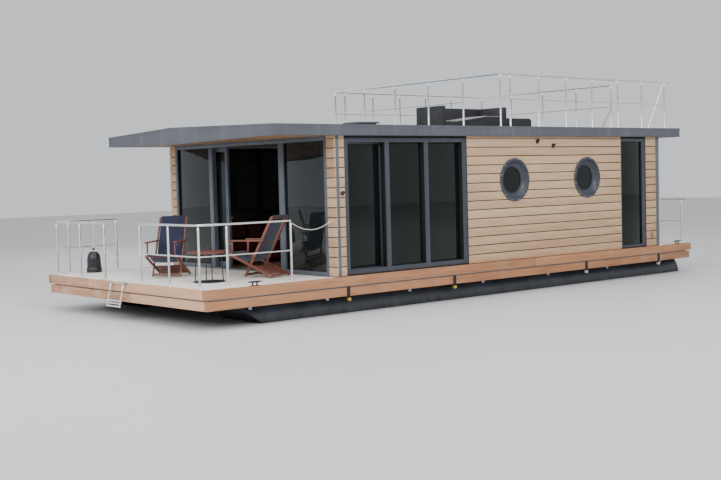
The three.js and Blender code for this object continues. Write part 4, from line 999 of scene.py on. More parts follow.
SCREWS = edge_screws()
settle(merge("edge_screws", [fasteners("edge_screws", SCREWS, 0.0035, ZINC, sides=12)]), "boat",
       "galvanised")
print(len(SCREWS), "edge screws")

# %% [markdown]
# Cleats stand on the edge board near the corners: two round posts on a foot plate under a tapering horn.
# The lugs beside the ladder are steel plates with a pin through them.

# %% Cleats and ladder lugs
def make_cleats():
    bm = bmesh.new()
    bolts = []
    for x in (BOW - 0.9, STERN + 0.45):
        for sign in (1, -1):
            y = sign * (HALF_BEAM - 0.035)
            add_box(bm, (x - 0.08, y - 0.03, DECK), (x + 0.08, y + 0.03, DECK + 0.008), 0.003)
            for dx in (-0.04, 0.04):
                neck = [(0, 0.02), (0.006, 0.016), (0.014, 0.0125), (0.04, 0.0125), (0.052, 0.015)]
                add_lathe(bm, neck, (x + dx, y, DECK + 0.006), (0, 0, 1), 20)
            horn = [(0, 0), (0.002, 0.006), (0.01, 0.009), (0.06, 0.0125), (0.1, 0.014)]
            horn += [(0.26 - along, radius) for along, radius in reversed(horn)]
            add_lathe(bm, horn, (x - 0.13, y, DECK + 0.06), (1, 0, 0), 20)
            bolts += [((x + dx, y, DECK + 0.008), (0, 0, 1)) for dx in (-0.068, 0.068)]
    cleats = make("mooring_cleats", bm, BLACK_METAL, 40, "black_metal")
    settle(merge("cleat_bolts", [fasteners("cleat_bolts", bolts, 0.005, STAINLESS)]), "boat", "stainless")
    bm = bmesh.new()
    for sign in (1, -1):
        side_box(bm, sign, (BOW, BOW + 0.046), (0.221, 0.233), (DECK - 0.045, DECK + 0.008), 0.003)
        side_box(bm, sign, (BOW, BOW + 0.004), (0.233, 0.262), (DECK - 0.045, DECK + 0.002), 0.001)
        add_lathe(bm, [(0, 0.0155), (0.004, 0.0155), (0.006, 0.012)],
                  (BOW + 0.03, sign * 0.233, DECK - 0.013), (0, sign, 0), 20)
    make("ladder_lugs", bm, ZINC, 30, "galvanised")
    return triangles(cleats)


print("cleats", make_cleats(), "triangles")

# %% [markdown]
# Decks. The open decks are pale grooved composite boards across the boat; inside lies a timber floor
# along it. Every board is its own rounded length from the board tree, a few millimetres apart over a
# near-black underlay that is painted shade, so that the gaps read as shadow lines.

# %% Deck boards
def make_deck_finish():
    material, tree, shader = start_finish("pale_composite")
    place = wire(tree, "ShaderNodeTexCoord").outputs["Object"]
    tone = wire(tree, "ShaderNodeAttribute", {"attribute_name": "tone"}).outputs["Fac"]
    marks = group(tree, MOTTLE, Patch=1.1, Speck=260.0)
    base = blend_by(tree, tone, colour(0.84, 0.81, 0.75), colour(0.76, 0.725, 0.66))
    paint(tree, shader, blend_by(tree, marks["Patches"], base, colour(0.66, 0.61, 0.54), 0.5, 0.8))
    grooves = wire(tree, "ShaderNodeTexWave", {"bands_direction": "X"}, Vector=place, Scale=32.0)
    vary(tree, shader, marks["Patches"], 0.55, 0.75)
    bump(tree, shader, grooves.outputs[1], 0.001)
    return material


DECK_BOARD = make_deck_finish()
DECK_HALF = 2.4297


def make_deck(node, x0, x1, seed):
    pitch = (x1 - x0) / round((x1 - x0) / 0.146)
    count = round((x1 - x0) / pitch)
    top = boards(node + "_boards", count, (x0 + pitch / 2, 0, DECK - 0.011), (pitch, 0, 0), 2 * DECK_HALF,
                 pitch - 0.005, 0.022, DECK_BOARD, (0, 0, math.pi / 2), seed)
    bm = bmesh.new()
    add_box(bm, (x0, -DECK_HALF, DECK - 0.028), (x1, DECK_HALF, DECK - 0.0215))
    # Near-black underlay: painted shade seen through the board gaps.
    base = piece_from_bm(node + "_underlay", bm, SHADE_UNDERLAY)
    settle(base, "boat", "black_metal", (node,))
    laid = merge(node + "_planks", [top])
    settle(laid, "boat", "deck_composite", (node,))
    return count, triangles(laid)


print("fore deck", make_deck("fore_deck", FRONT + 0.01, BOW - 0.0703, 3))
print("aft deck", make_deck("aft_deck", STERN + 0.0703, BACK - 0.01, 5))


def make_floor_boards():
    x0, x1 = BACK - 0.0097, FRONT + 0.0097
    count = round(2 * DECK_HALF / 0.18)
    pitch = 2 * DECK_HALF / count
    first = (x0 + x1) / 2
    top = boards("cabin_floor_boards", count, (first, -DECK_HALF + pitch / 2, DECK - 0.011), (0, pitch, 0),
                 x1 - x0, pitch - 0.0015, 0.022, FLOOR_WOOD, (0, 0, 0), 8, 0.0015)
    bm = bmesh.new()
    add_box(bm, (x0, -DECK_HALF, DECK - 0.028), (x1, DECK_HALF, DECK - 0.0215))
    settle(piece_from_bm("cabin_floor_underlay", bm, SHADE_UNDERLAY), "boat", "black_metal", ("cabin_floor",))
    settle(merge("cabin_floor_planks", [top]), "boat", "floor_wood", ("cabin_floor",))
    return count


print("cabin floor", make_floor_boards(), "boards")
# %% [markdown]
# The cabin walls are boarded. Behind the boards lies a copy of the solid wall whose outer skin is pushed
# in, near-black outside as painted shade in the board gaps and white inside; it keeps the openings, the
# corner posts and the door tracks. A copy of a imported node is merged first, because its triangles are
# loose.

# %% Wall cores
SKIN = 0.0185


def wall_core(node, faces):
    """faces lists (axis, place, direction): vertices beyond the place are pulled in by the skin."""
    bm = bmesh.new()
    bm.from_mesh(frame["nodes"][node].data)
    bmesh.ops.remove_doubles(bm, verts=bm.verts, dist=1e-5)
    for axis, place, way in faces:
        limit = place - way * SKIN
        for vert in bm.verts:
            if (vert.co[axis] - limit) * way > 0:
                vert.co[axis] = limit
    mesh = bpy.data.meshes.new(node + "_core")
    bm.to_mesh(mesh)
    bm.free()
    # Outside, the near-black underlay is painted shade behind the board gaps.
    mesh.materials.append(SHADE_UNDERLAY)
    mesh.materials.append(WHITE_BOARD)
    for face in mesh.polygons:
        outer = any(abs(face.center[axis] - place + way * SKIN) < 0.001 for axis, place, way in faces)
        inward = any(face.normal[axis] * way < -0.5 for axis, place, way in faces)
        face.material_index = 1 if inward and not outer else 0
    core = piece_from(node + "_core", mesh)
    settle(core, "boat", "white_panel", (node,))
    return core


for side, sign in SIDES:
    wall_core("wall_" + side, [(1, sign * WALL_Y, sign), (0, FRONT, 1), (0, BACK, -1)])
wall_core("wall_stern", [(0, BACK, -1)])
print("wall cores ready")

# %% [markdown]
# The cladding is a row of 142 mm boards every 157 mm from the deck up, with a dark gap between, and a strip
# that fills the last few centimetres under the roof. Each interval between openings gets its own rows, so
# the same courses run through from corner to corner. The portholes are cut out with a boolean.

# %% Cladding
PITCH, BOARD_WIDE, COURSES = 0.157, 0.1425, 14
WALL_FOOT = DECK + CLEAR
BOARD_MID = WALL_FOOT + PITCH / 2
TOP_STRIP = (WALL_FOOT + PITCH * COURSES, WALL_TOP - CLEAR)
PORTHOLES = [aft(5.47), aft(3.39)]
PORTHOLE_Z = DECK + 1.452
SIDE_SPANS = [(aft(9.589), aft(9.48)), (aft(9.672), aft(9.652)), (aft(2.314), aft(6.69)),
              (aft(1.149), aft(1.48))]
SIDE_SPANS = [tuple(sorted(pair)) for pair in SIDE_SPANS]


def courses(name, low, high, place, side, seed, z_from=0, top=True):
    """Boards between low and high along the wall. side is 'x' for walls seen from port or starboard."""
    middle, long = (low + high) / 2, high - low
    turn = (math.pi / 2, 0, 0) if side == "x" else (math.pi / 2, 0, math.pi / 2)
    material = CLAD_X if side == "x" else CLAD_Y

    def at(z):
        return (middle, place, z) if side == "x" else (place, middle, z)

    made = [boards(name, COURSES - z_from, at(BOARD_MID + z_from * PITCH), (0, 0, PITCH), long, BOARD_WIDE,
                   0.018, material, turn, seed, 0.003)]
    if top:
        tall = TOP_STRIP[1] - TOP_STRIP[0]
        made.append(boards(name + "_top", 1, at(sum(TOP_STRIP) / 2), (0, 0, 1), long, tall, 0.018, material,
                           turn, seed + 1))
    return made


def cut_portholes(piece, sign):
    bm = bmesh.new()
    for x in PORTHOLES:
        add_rod(bm, (x, sign * 2.3, PORTHOLE_Z), (x, sign * 2.6, PORTHOLE_Z), 0.378, sides=72)
    cutter = piece_from_bm("porthole_cutter", bm)
    modifier = piece.modifiers.new("cut", "BOOLEAN")
    modifier.operation, modifier.object, modifier.solver = "DIFFERENCE", cutter, "EXACT"
    evaluated = piece.evaluated_get(bpy.context.evaluated_depsgraph_get())
    cut = bpy.data.meshes.new_from_object(evaluated)
    piece.modifiers.clear()
    piece.data = cut
    bpy.data.objects.remove(cutter)


def clad_side(side, sign, seed):
    place = sign * (WALL_Y - 0.009)
    rows = []
    for k, (low, high) in enumerate(SIDE_SPANS):
        rows += courses(f"cladding_{side}_{k}", low, high, place, "x", seed + 10 * k)
    piece = merge("cladding_" + side, rows)
    cut_portholes(piece, sign)
    settle(piece, "boat", "cladding", ("wall_" + side,))
    rows = courses("front", *sorted((sign * 2.2505, sign * WALL_Y)), FRONT - 0.009, "y", seed + 60)
    rows += courses("back", *sorted((sign * 2.2505, sign * 2.386)), BACK + 0.009, "y", seed + 70)
    corner = merge("cladding_corners_" + side, rows)
    settle(corner, "boat", "cladding", ("wall_" + side,))
    return triangles(piece) + triangles(corner)


print("port cladding", clad_side("port", 1, 100), "triangles")
print("starboard cladding", clad_side("starboard", -1, 300), "triangles")


def clad_stern():
    rows = []
    for low, high in ((-2.2495, -0.478), (0.478, 2.2495)):
        rows += courses("stern", low, high, BACK + 0.009, "y", 510 + int(low))
    first = 13
    rows += courses("stern_head", -0.4775, 0.4775, BACK + 0.009, "y", 530, z_from=first + 1, top=True)[1:]
    rows.append(boards("stern_lintel", 1, (BACK + 0.009, 0, BOARD_MID + first * PITCH + 0.01), (0, 0, 1),
                       0.955, 0.125, 0.018, CLAD_Y, (math.pi / 2, 0, math.pi / 2), 540))
    piece = merge("cladding_stern", rows)
    settle(piece, "boat", "cladding", ("wall_stern",))
    return triangles(piece)


print("stern cladding", clad_stern(), "triangles")

# %% [markdown]
# Dark folded profiles close the corners and line the window openings. Behind a gap in the boards there is
# always such a profile or the near-black underlay of painted shade, never an open edge.

# %% Corner profiles and reveals
def make_profiles():
    bm = bmesh.new()
    for sign in (1, -1):
        outer, inner = sign * (WALL_Y - 0.003), sign * (WALL_Y - SKIN)
        lows = (min(outer, inner), max(outer, inner))
        for x0, x1 in ((aft(9.59), aft(9.651)), (BACK, aft(1.148))):
            add_box(bm, (x0, lows[0], WALL_FOOT), (x1, lows[1], WALL_TOP - 0.0004), 0.002)
        y0, y1 = sorted((sign * 2.387, sign * (WALL_Y - 0.004)))
        add_box(bm, (BACK, y0, WALL_FOOT), (BACK + SKIN, y1, WALL_TOP - 0.0004), 0.002)
        for x in (aft(6.69), aft(9.48), aft(1.48), aft(2.314)):
            way = 1 if x in (aft(6.69), aft(1.48)) else -1
            add_box(bm, (min(x, x + way * 0.004), min(sign * 2.36, outer), DECK + 0.019),
                    (max(x, x + way * 0.004), max(sign * 2.36, outer), WALL_TOP - 0.041), 0.001)
    for y in (0.436, -0.436):
        low, high = sorted((y, y * 0.478 / 0.436))
        add_box(bm, (BACK - 0.003, low, DECK + 0.035), (BACK + 0.02, high, DECK + 2.066), 0.002)
    add_box(bm, (BACK - 0.003, -0.478, DECK + 2.062), (BACK + 0.02, 0.478, DECK + 2.1), 0.002)
    add_box(bm, (BACK - 0.003, -0.478, DECK + 0.0005), (BACK + 0.03, 0.478, DECK + 0.038), 0.003)
    profiles = make("corner_profiles", bm, FRAME_GREY, 30, "dark_frame")
    return triangles(profiles)


print("profiles", make_profiles(), "triangles")

# %% [markdown]
# A porthole is turned: a flat flange on the cladding, a bead, then a deep cone that narrows to the pane,
# with a second thin ring before the glass. A ring of small screws holds the flange.

# %% Portholes
def make_porthole(name, x, sign):
    bm = bmesh.new()
    profile = [
        (0.0005, 0.3885), (0.004, 0.39), (0.018, 0.39), (0.022, 0.386), (0.022, 0.362), (0.020, 0.357),
        (0.0205, 0.350),
        (0.018, 0.345), (-0.012, 0.328), (-0.016, 0.318), (-0.034, 0.306), (-0.062, 0.262), (-0.064, 0.252),
        (-0.058, 0.246),
        (-0.062, 0.238), (-0.08, 0.236), (-0.0945, 0.236), (-0.0945, 0.3685), (0.0005, 0.3685),
        (0.0005, 0.3885),
    ]
    add_lathe(bm, [(along, radius) for along, radius in profile], (x, sign * WALL_Y, PORTHOLE_Z),
              (0, sign, 0), 72)
    bmesh.ops.remove_doubles(bm, verts=bm.verts, dist=1e-5)
    ring_faces = [face for face in bm.faces if len(face.verts) > 8]
    bmesh.ops.delete(bm, geom=ring_faces, context="FACES_ONLY")
    ring = make(name + "_ring", bm, FRAME_NAVY, 28, "dark_frame", name)
    bm = bmesh.new()
    add_rod(bm, (x, sign * (WALL_Y - 0.0945), PORTHOLE_Z), (x, sign * (WALL_Y - 0.075), PORTHOLE_Z), 0.2375,
            72)
    make(name + "_pane", bm, SIDE_GLASS, 30, "pane", name)
    spots = []
    for k in range(12):
        angle = 2 * math.pi * (k + 0.5) / 12
        spot = (x + 0.375 * math.cos(angle), sign * (WALL_Y + 0.0215), PORTHOLE_Z + 0.375 * math.sin(angle))
        spots.append((spot, (0, sign, 0)))
    settle(merge(name + "_screws", [fasteners(name, spots, 0.0045, STAINLESS, sides=12)]), "boat",
           "stainless")
    return triangles(ring)


for side, sign in SIDES:
    for k, x in enumerate(PORTHOLES):
        print("porthole", side, make_porthole(f"porthole_{side}_{k + 1}", x, sign), "triangles")
# %% [markdown]
# Window frames are aluminium bars. Stiles run the whole height, rails fit between them with a hairline
# joint, and every edge is slightly rounded so that it catches the light. A black gasket borders each pane.

# %% Helpers for frames and panes
def panel_box(bm, plane, u, v, deep, bevel=0.003):
    """A bar in a wall: u runs along the wall, v is height, deep is the thickness across it."""
    if plane == "side":
        add_box(bm, (u[0], min(deep), v[0]), (u[1], max(deep), v[1]), bevel)
    else:
        add_box(bm, (min(deep), u[0], v[0]), (max(deep), u[1], v[1]), bevel)


def add_bay(bm, plane, u, v, deep, stiles, rails, bevel=0.003):
    """Two stiles and two rails round one pane. Returns the clear opening."""
    panel_box(bm, plane, (u[0], u[0] + stiles[0]), v, deep, bevel)
    panel_box(bm, plane, (u[1] - stiles[1], u[1]), v, deep, bevel)
    inner = (u[0] + stiles[0] + 0.0006, u[1] - stiles[1] - 0.0006)
    panel_box(bm, plane, inner, (v[0], v[0] + rails[0]), deep, bevel)
    panel_box(bm, plane, inner, (v[1] - rails[1], v[1]), deep, bevel)
    return (u[0] + stiles[0], u[1] - stiles[1]), (v[0] + rails[0], v[1] - rails[1])


def add_gasket(bm, plane, u, v, deep, wide=0.009):
    for bars in (((u[0], u[0] + wide), v), ((u[1] - wide, u[1]), v)):
        panel_box(bm, plane, *bars, deep, 0.0015)
    for bars in (((u[0] + wide, u[1] - wide), (v[0], v[0] + wide)),
                 ((u[0] + wide, u[1] - wide), (v[1] - wide, v[1]))):
        panel_box(bm, plane, *bars, deep, 0.0015)


def blacken_sides(piece):
    """The narrow faces that look forward and aft lie in the shade of the reveal and are dark."""
    piece.data.materials.append(GASKET)
    for face in piece.data.polygons:
        if abs(face.normal.x) > 0.9:
            face.material_index = 1


class Joinery:
    """Collects the bars, gaskets and panes of one window, then makes a piece of each."""

    def __init__(self, name, node, body="boat", glass=None):
        self.name, self.node, self.body, self.glass = name, node, body, glass or SIDE_GLASS
        self.bars, self.rubber, self.panes = bmesh.new(), bmesh.new(), bmesh.new()

    def pane(self, plane, u, v, deep):
        panel_box(self.panes, plane, u, v, deep, 0.001)

    def finish(self, *nodes):
        total = 0
        coat = FRAME_GREY if self.glass == FRONT_GLASS else FRAME_NAVY
        parts = (("bars", self.bars, coat, "dark_frame"), ("gaskets", self.rubber, GASKET, "dark_frame"),
                 ("panes", self.panes, self.glass, "pane"))
        for part, bm, material, slot in parts:
            if bm.faces:
                piece = piece_from_bm(f"{self.name}_{part}", bm, material, smooth=30)
                if material == FRAME_NAVY:
                    blacken_sides(piece)
                settle(piece, self.body, slot, (self.node, *nodes))
                total += triangles(piece)
            else:
                bm.free()
        return total


print("joinery helpers ready")

# %% [markdown]
# The front wall: a fixed pane at each side, a doorway between, and two leaves that slide behind it on
# tracks. The saloon windows have three bays a side; on port the foremost is a sliding leaf. The tall
# narrow windows aft light the cabin.

# %% Front wall
WALL_Z = (DECK + CLEAR, WALL_TOP - CLEAR)
FRAME_X = (FRONT - 0.09, FRONT)
LEAF_X = (FRONT - 0.15, FRONT - 0.105)
LEAF_Z = (1.162, 3.326)
FRONT_EDGE, DOORWAY = 2.2497, 1.005


def front_wall():
    made = Joinery("front_frame", "front_frame", glass=FRONT_GLASS)
    bm = made.bars
    for sign in (1, -1):
        panel_box(bm, "front", sorted((sign * FRONT_EDGE, sign * (FRONT_EDGE - 0.07))), WALL_Z, FRAME_X)
        panel_box(bm, "front", sorted((sign * (DOORWAY + 0.11), sign * DOORWAY)),
                  (WALL_Z[0], WALL_Z[1] - 0.0706), FRAME_X)
        bay = sorted((sign * (DOORWAY + 0.1106), sign * (FRONT_EDGE - 0.0706)))
        panel_box(bm, "front", bay, (WALL_Z[0], WALL_Z[0] + 0.07), FRAME_X)
        clear = sorted((sign * (DOORWAY + 0.11), sign * (FRONT_EDGE - 0.07)))
        heights = (WALL_Z[0] + 0.07, WALL_Z[1] - 0.07)
        add_gasket(made.rubber, "front", clear, heights, (FRONT - 0.03, FRONT - 0.018))
        made.pane("front", clear, heights, (FRONT - 0.05, FRONT - 0.03))
    panel_box(bm, "front", (-FRONT_EDGE + 0.0706, FRONT_EDGE - 0.0706), (WALL_Z[1] - 0.07, WALL_Z[1]),
              FRAME_X)
    panel_box(bm, "front", (-DOORWAY, DOORWAY), (WALL_Z[0], WALL_Z[0] + 0.02), FRAME_X)
    reach = (-FRONT_EDGE + 0.004, FRONT_EDGE - 0.004)
    for x in (FRAME_X[0] - 0.07, FRAME_X[0] - 0.004):
        panel_box(bm, "front", reach, (WALL_Z[0], WALL_Z[0] + 0.014), (x, x + 0.004), 0.001)
        panel_box(bm, "front", reach, (3.334, WALL_Z[1]), (x, x + 0.004), 0.001)
    panel_box(bm, "front", reach, (WALL_Z[0], WALL_Z[0] + 0.004), (FRAME_X[0] - 0.07, FRAME_X[0]), 0.001)
    panel_box(bm, "front", reach, (WALL_Z[1] - 0.02, WALL_Z[1]), (FRAME_X[0] - 0.07, FRAME_X[0]), 0.001)
    return made.finish("front_glass_port", "front_glass_starboard")


def front_leaf(side, near, far):
    u = tuple(sorted((near, far)))
    node = "front_leaf_" + side
    made = Joinery(node, node, node, FRONT_GLASS)
    clear, heights = add_bay(made.bars, "front", u, LEAF_Z, LEAF_X, (0.08, 0.08), (0.095, 0.095))
    for deep in ((LEAF_X[0] + 0.034, LEAF_X[0] + 0.041), (LEAF_X[0] + 0.003, LEAF_X[0] + 0.01)):
        add_gasket(made.rubber, "front", clear, heights, deep)
    made.pane("front", clear, heights, (LEAF_X[0] + 0.01, LEAF_X[0] + 0.034))
    middle = near + (0.04 if far > near else -0.04)
    add_grip(made.bars, (LEAF_X[1], middle, DECK + 1.05), (1, 0, 0))
    return made.finish()


def add_grip(bm, place, way):
    """A pull: a slim vertical bar on two short posts, within the clearance beside the leaf."""
    place, way = Vector(place), Vector(way)
    for dz in (-0.07, 0.07):
        add_rod(bm, place + Vector((0, 0, dz)), place + Vector((0, 0, dz)) + way * 0.008, 0.006, 10)
    add_rod(bm, place + way * 0.0085 - Vector((0, 0, 0.1)), place + way * 0.0085 + Vector((0, 0, 0.1)),
            0.0035, 10)


print("front frame", front_wall(), "triangles")
print("port leaf", front_leaf("port", 0.83, 1.915), "triangles")
print("starboard leaf", front_leaf("starboard", -0.68, -1.765), "triangles")

# %% Saloon and aft windows
OPENING_Z = (WALL_Z[0] + 0.0183, WALL_Z[1] - 0.0403)
SALOON_X = (aft(6.69) + CLEAR, aft(9.48) - CLEAR)
MULLIONS = (aft(7.668), aft(8.555))
AFT_X = (aft(1.48) + CLEAR, aft(2.314) - CLEAR)


def saloon_window(side, sign):
    deep = (sign * (WALL_Y - 0.012), sign * (WALL_Y - 0.082))
    made = Joinery("saloon_window_" + side, "saloon_frame_" + side)
    bm = made.bars
    panel_box(bm, "side", (SALOON_X[0], SALOON_X[0] + 0.115), OPENING_Z, deep)
    panel_box(bm, "side", (SALOON_X[1] - 0.085, SALOON_X[1]), OPENING_Z, deep)
    edges = [SALOON_X[0] + 0.115] + [m + d for m in MULLIONS for d in (-0.05, 0.05)] + [SALOON_X[1] - 0.085]
    clear = (OPENING_Z[0] + 0.075, OPENING_Z[1] - 0.07)
    for m in MULLIONS:
        panel_box(bm, "side", (m - 0.05, m + 0.05), (OPENING_Z[0] + 0.0756, OPENING_Z[1] - 0.0706), deep)
    inner = (SALOON_X[0] + 0.1156, SALOON_X[1] - 0.0856)
    panel_box(bm, "side", inner, (OPENING_Z[0], clear[0]), deep)
    panel_box(bm, "side", inner, (clear[1], OPENING_Z[1]), deep)
    bays = list(zip(edges[0::2], edges[1::2]))
    for k, bay in enumerate(bays):
        if side == "starboard" or k < 2:
            lip = (sign * (WALL_Y - 0.074), sign * (WALL_Y - 0.082))
            add_gasket(made.rubber, "side", bay, clear, lip, 0.01)
    foremost = bays[1][1] + 0.04 if side == "port" else bays[2][1] + 0.04
    behind = WALL_Y - 0.0823
    made.pane("side", (bays[0][0] - 0.04, foremost), (clear[0] - 0.03, clear[1] + 0.03),
              (sign * behind, sign * (behind - 0.024)))
    return made.finish("saloon_glass_" + side)


def saloon_leaf():
    deep = (2.274, 2.314)
    made = Joinery("saloon_leaf", "saloon_leaf", "saloon_leaf")
    clear, heights = add_bay(made.bars, "side", (aft(8.56), aft(9.462)), LEAF_Z, deep, (0.07, 0.07),
                             (0.08, 0.08))
    add_gasket(made.rubber, "side", clear, heights, (2.306, 2.3125))
    made.pane("side", clear, heights, (2.282, 2.306))
    add_grip(made.bars, (aft(8.595), 2.314, DECK + 1.45), (0, 1, 0))
    return made.finish()


def aft_window(side, sign):
    deep = (sign * (WALL_Y - 0.012), sign * (WALL_Y - 0.082))
    made = Joinery("aft_window_" + side, "aft_window_" + side)
    clear, heights = add_bay(made.bars, "side", AFT_X, OPENING_Z, deep, (0.13, 0.04), (0.05, 0.06))
    add_gasket(made.rubber, "side", clear, heights, (sign * (WALL_Y - 0.037), sign * (WALL_Y - 0.027)))
    made.pane("side", clear, heights, (sign * (WALL_Y - 0.037), sign * (WALL_Y - 0.061)))
    return made.finish()


for side, sign in SIDES:
    print("saloon window", side, saloon_window(side, sign), "aft window", aft_window(side, sign))
print("saloon leaf", saloon_leaf())

# %% [markdown]
# The stern door is a panelled leaf with a tall pane, hung on three lift-off hinges, with a lever handle.

# %% Stern door
def stern_door():
    made = Joinery("stern_door", "stern_door", "stern_door")
    deep = (BACK, BACK + 0.05)
    u, v = (-0.423, 0.423), (DECK + 0.047, DECK + 2.053)
    light = (DECK + 0.99, DECK + 1.9)
    bm = made.bars
    for y in ((u[0], u[0] + 0.13), (u[1] - 0.13, u[1])):
        panel_box(bm, "front", y, v, deep)
    inner = (u[0] + 0.1306, u[1] - 0.1306)
    for z in ((v[0], v[0] + 0.14), (light[0] - 0.12, light[0]), (light[1], v[1])):
        panel_box(bm, "front", inner, z, deep)
    panel_box(bm, "front", inner, (v[0] + 0.1406, light[0] - 0.1206), (BACK + 0.012, BACK + 0.038))
    add_gasket(made.rubber, "front", (inner[0] - 0.0006, inner[1] + 0.0006), light,
               (BACK + 0.008, BACK + 0.016))
    made.pane("front", (inner[0] - 0.0006, inner[1] + 0.0006), light, (BACK + 0.016, BACK + 0.036))
    hinge = (BACK - 0.02, 0.416)
    for rise in (0.3, 1.0, 1.75):
        foot = DECK + 0.04 + rise
        add_rod(bm, (*hinge, foot), (*hinge, foot + 0.048), 0.0135, 16)
        add_rod(bm, (*hinge, foot + 0.052), (*hinge, foot + 0.1), 0.0135, 16)
        add_box(bm, (BACK - 0.024, 0.326, foot + 0.01), (BACK + 0.001, 0.405, foot + 0.09), 0.003)
    handle = bmesh.new()
    y = u[0] + 0.052
    add_box(handle, (BACK - 0.008, y - 0.02, DECK + 0.94), (BACK, y + 0.02, DECK + 1.12), 0.003)
    add_rod(handle, (BACK - 0.003, y, DECK + 1.0525), (BACK - 0.054, y, DECK + 1.0525), 0.009, 14)
    add_rod(handle, (BACK - 0.054, y - 0.009, DECK + 1.0525), (BACK - 0.054, y + 0.125, DECK + 1.0525),
            0.0088, 14)
    make("stern_door_handle", handle, STAINLESS, 40, "stainless", body="stern_door")
    return made.finish()


print("stern door", stern_door(), "triangles")
# %% [markdown]
# The roof edge is folded sheet in slate grey. Its top edge rises and its foot drops towards the point
# over the bow, so the band is widest on the centre line. `roof_band` sweeps a thickness round that
# outline; a flashing laps over the top and a drip fold finishes the foot.

# %% Roof edge
ROOF_LINE = [(aft(0.386), -2.52), (aft(10.92), -2.52), (aft(11.16), 0.0), (aft(10.92), 2.52),
             (aft(0.386), 2.52)]
EDGE_FOOT = [3.374, 3.374, 3.324, 3.374, 3.374]
EDGE_TOP = [3.55, 3.55, 3.605, 3.55, 3.55]


def offset_line(distance):
    """The outline moved outwards by a distance, corners mitred."""
    moved = []
    count = len(ROOF_LINE)
    for k in range(count):
        before, here, after = (Vector(ROOF_LINE[(k + d) % count]) for d in (-1, 0, 1))
        normals = []
        for a, b in ((before, here), (here, after)):
            way = (b - a).normalized()
            normals.append(Vector((way.y, -way.x)))
        mitre = (normals[0] + normals[1]).normalized()
        moved.append(here + mitre * (distance / mitre.dot(normals[0])))
    return moved


def roof_band(bm, inner, outer, lows, highs):
    rings = []
    for distance, heights in ((outer, lows), (outer, highs), (inner, highs), (inner, lows)):
        rings.append([bm.verts.new((p.x, p.y, z)) for p, z in zip(offset_line(distance), heights)])
    made = []
    for low, high in zip(rings, rings[1:] + rings[:1]):
        for k in range(5):
            made.append(bm.faces.new((low[k], low[(k + 1) % 5], high[(k + 1) % 5], high[k])))
    edges = list({edge for face in made for edge in face.edges})
    bmesh.ops.bevel(bm, geom=edges, offset=0.0015, segments=2, affect="EDGES")


def roof_edge():
    bm = bmesh.new()
    roof_band(bm, -0.04, -0.003, EDGE_FOOT, EDGE_TOP)
    roof_band(bm, -0.05, 0.0, [z - 0.036 for z in EDGE_TOP], [z + 0.0015 for z in EDGE_TOP])
    roof_band(bm, -0.045, 0.0, EDGE_FOOT, [z + 0.014 for z in EDGE_FOOT])
    for sign in (1, -1):
        for length in (1.6, 3.6, 5.6, 7.6, 9.6):
            x = (aft(length) - 0.03, aft(length) + 0.03)
            side_box(bm, sign, x, (2.5165, 2.5185), (3.389, 3.513), 0.0008)
    edge = make("roof_edge_sheet", bm, ROOF_GREY, 30, "roof_sheet", "roof_fascia")
    return triangles(edge)


print("roof edge", roof_edge(), "triangles")

# %% [markdown]
# The flat roof is a welded membrane in sheets a metre and a half wide. Below, oiled boards line the
# overhangs and a white lining closes the cabin's ceiling.

# %% Roof membrane and soffit
CORE_HALF, CORE_STERN, CORE_CORNER, CORE_APEX = 2.4797, aft(0.4263), aft(10.8797), aft(11.1197)
SHEET, SOFFIT_Z, SOFFIT_COUNT = 1.5, (3.3803, 3.3985), 42


def core_polygon(low_x, high_x, y0, y1):
    """The part of the roof between two X and two Y limits, its front cut along the prow."""
    def front(y):
        return min(high_x, CORE_CORNER + (CORE_APEX - CORE_CORNER) * (1 - abs(y) / CORE_HALF))

    points = [(low_x, y0), (front(y0), y0)]
    if y0 < 0 < y1:
        points.append((front(0.0), 0.0))
    return points + [(front(y1), y1), (low_x, y1)]


def add_prism(bm, outline, low, high):
    bottom = [bm.verts.new((x, y, low)) for x, y in outline]
    top = [bm.verts.new((x, y, high)) for x, y in outline]
    bm.faces.new(bottom[::-1])
    bm.faces.new(top)
    join_rings(bm, bottom, top)


def roof_membrane():
    bm = bmesh.new()
    add_prism(bm, core_polygon(CORE_STERN, 99, -CORE_HALF, CORE_HALF), 3.4003, 3.497)
    x, half, last = CORE_STERN, CORE_HALF - 0.001, aft(10.85)
    while x < last:
        add_prism(bm, core_polygon(x, min(x + SHEET, CORE_APEX), -half, half), 3.4975, 3.4985)
        if x + SHEET < last:
            lap = core_polygon(x + SHEET - 0.06, x + SHEET, 0.001 - half, half - 0.001)
            add_prism(bm, lap, 3.4987, 3.4998)
        x += SHEET
    sheet = make("roof_membrane_sheets", bm, MEMBRANE, 30, "roof_sheet", "roof_slab")
    return triangles(sheet)


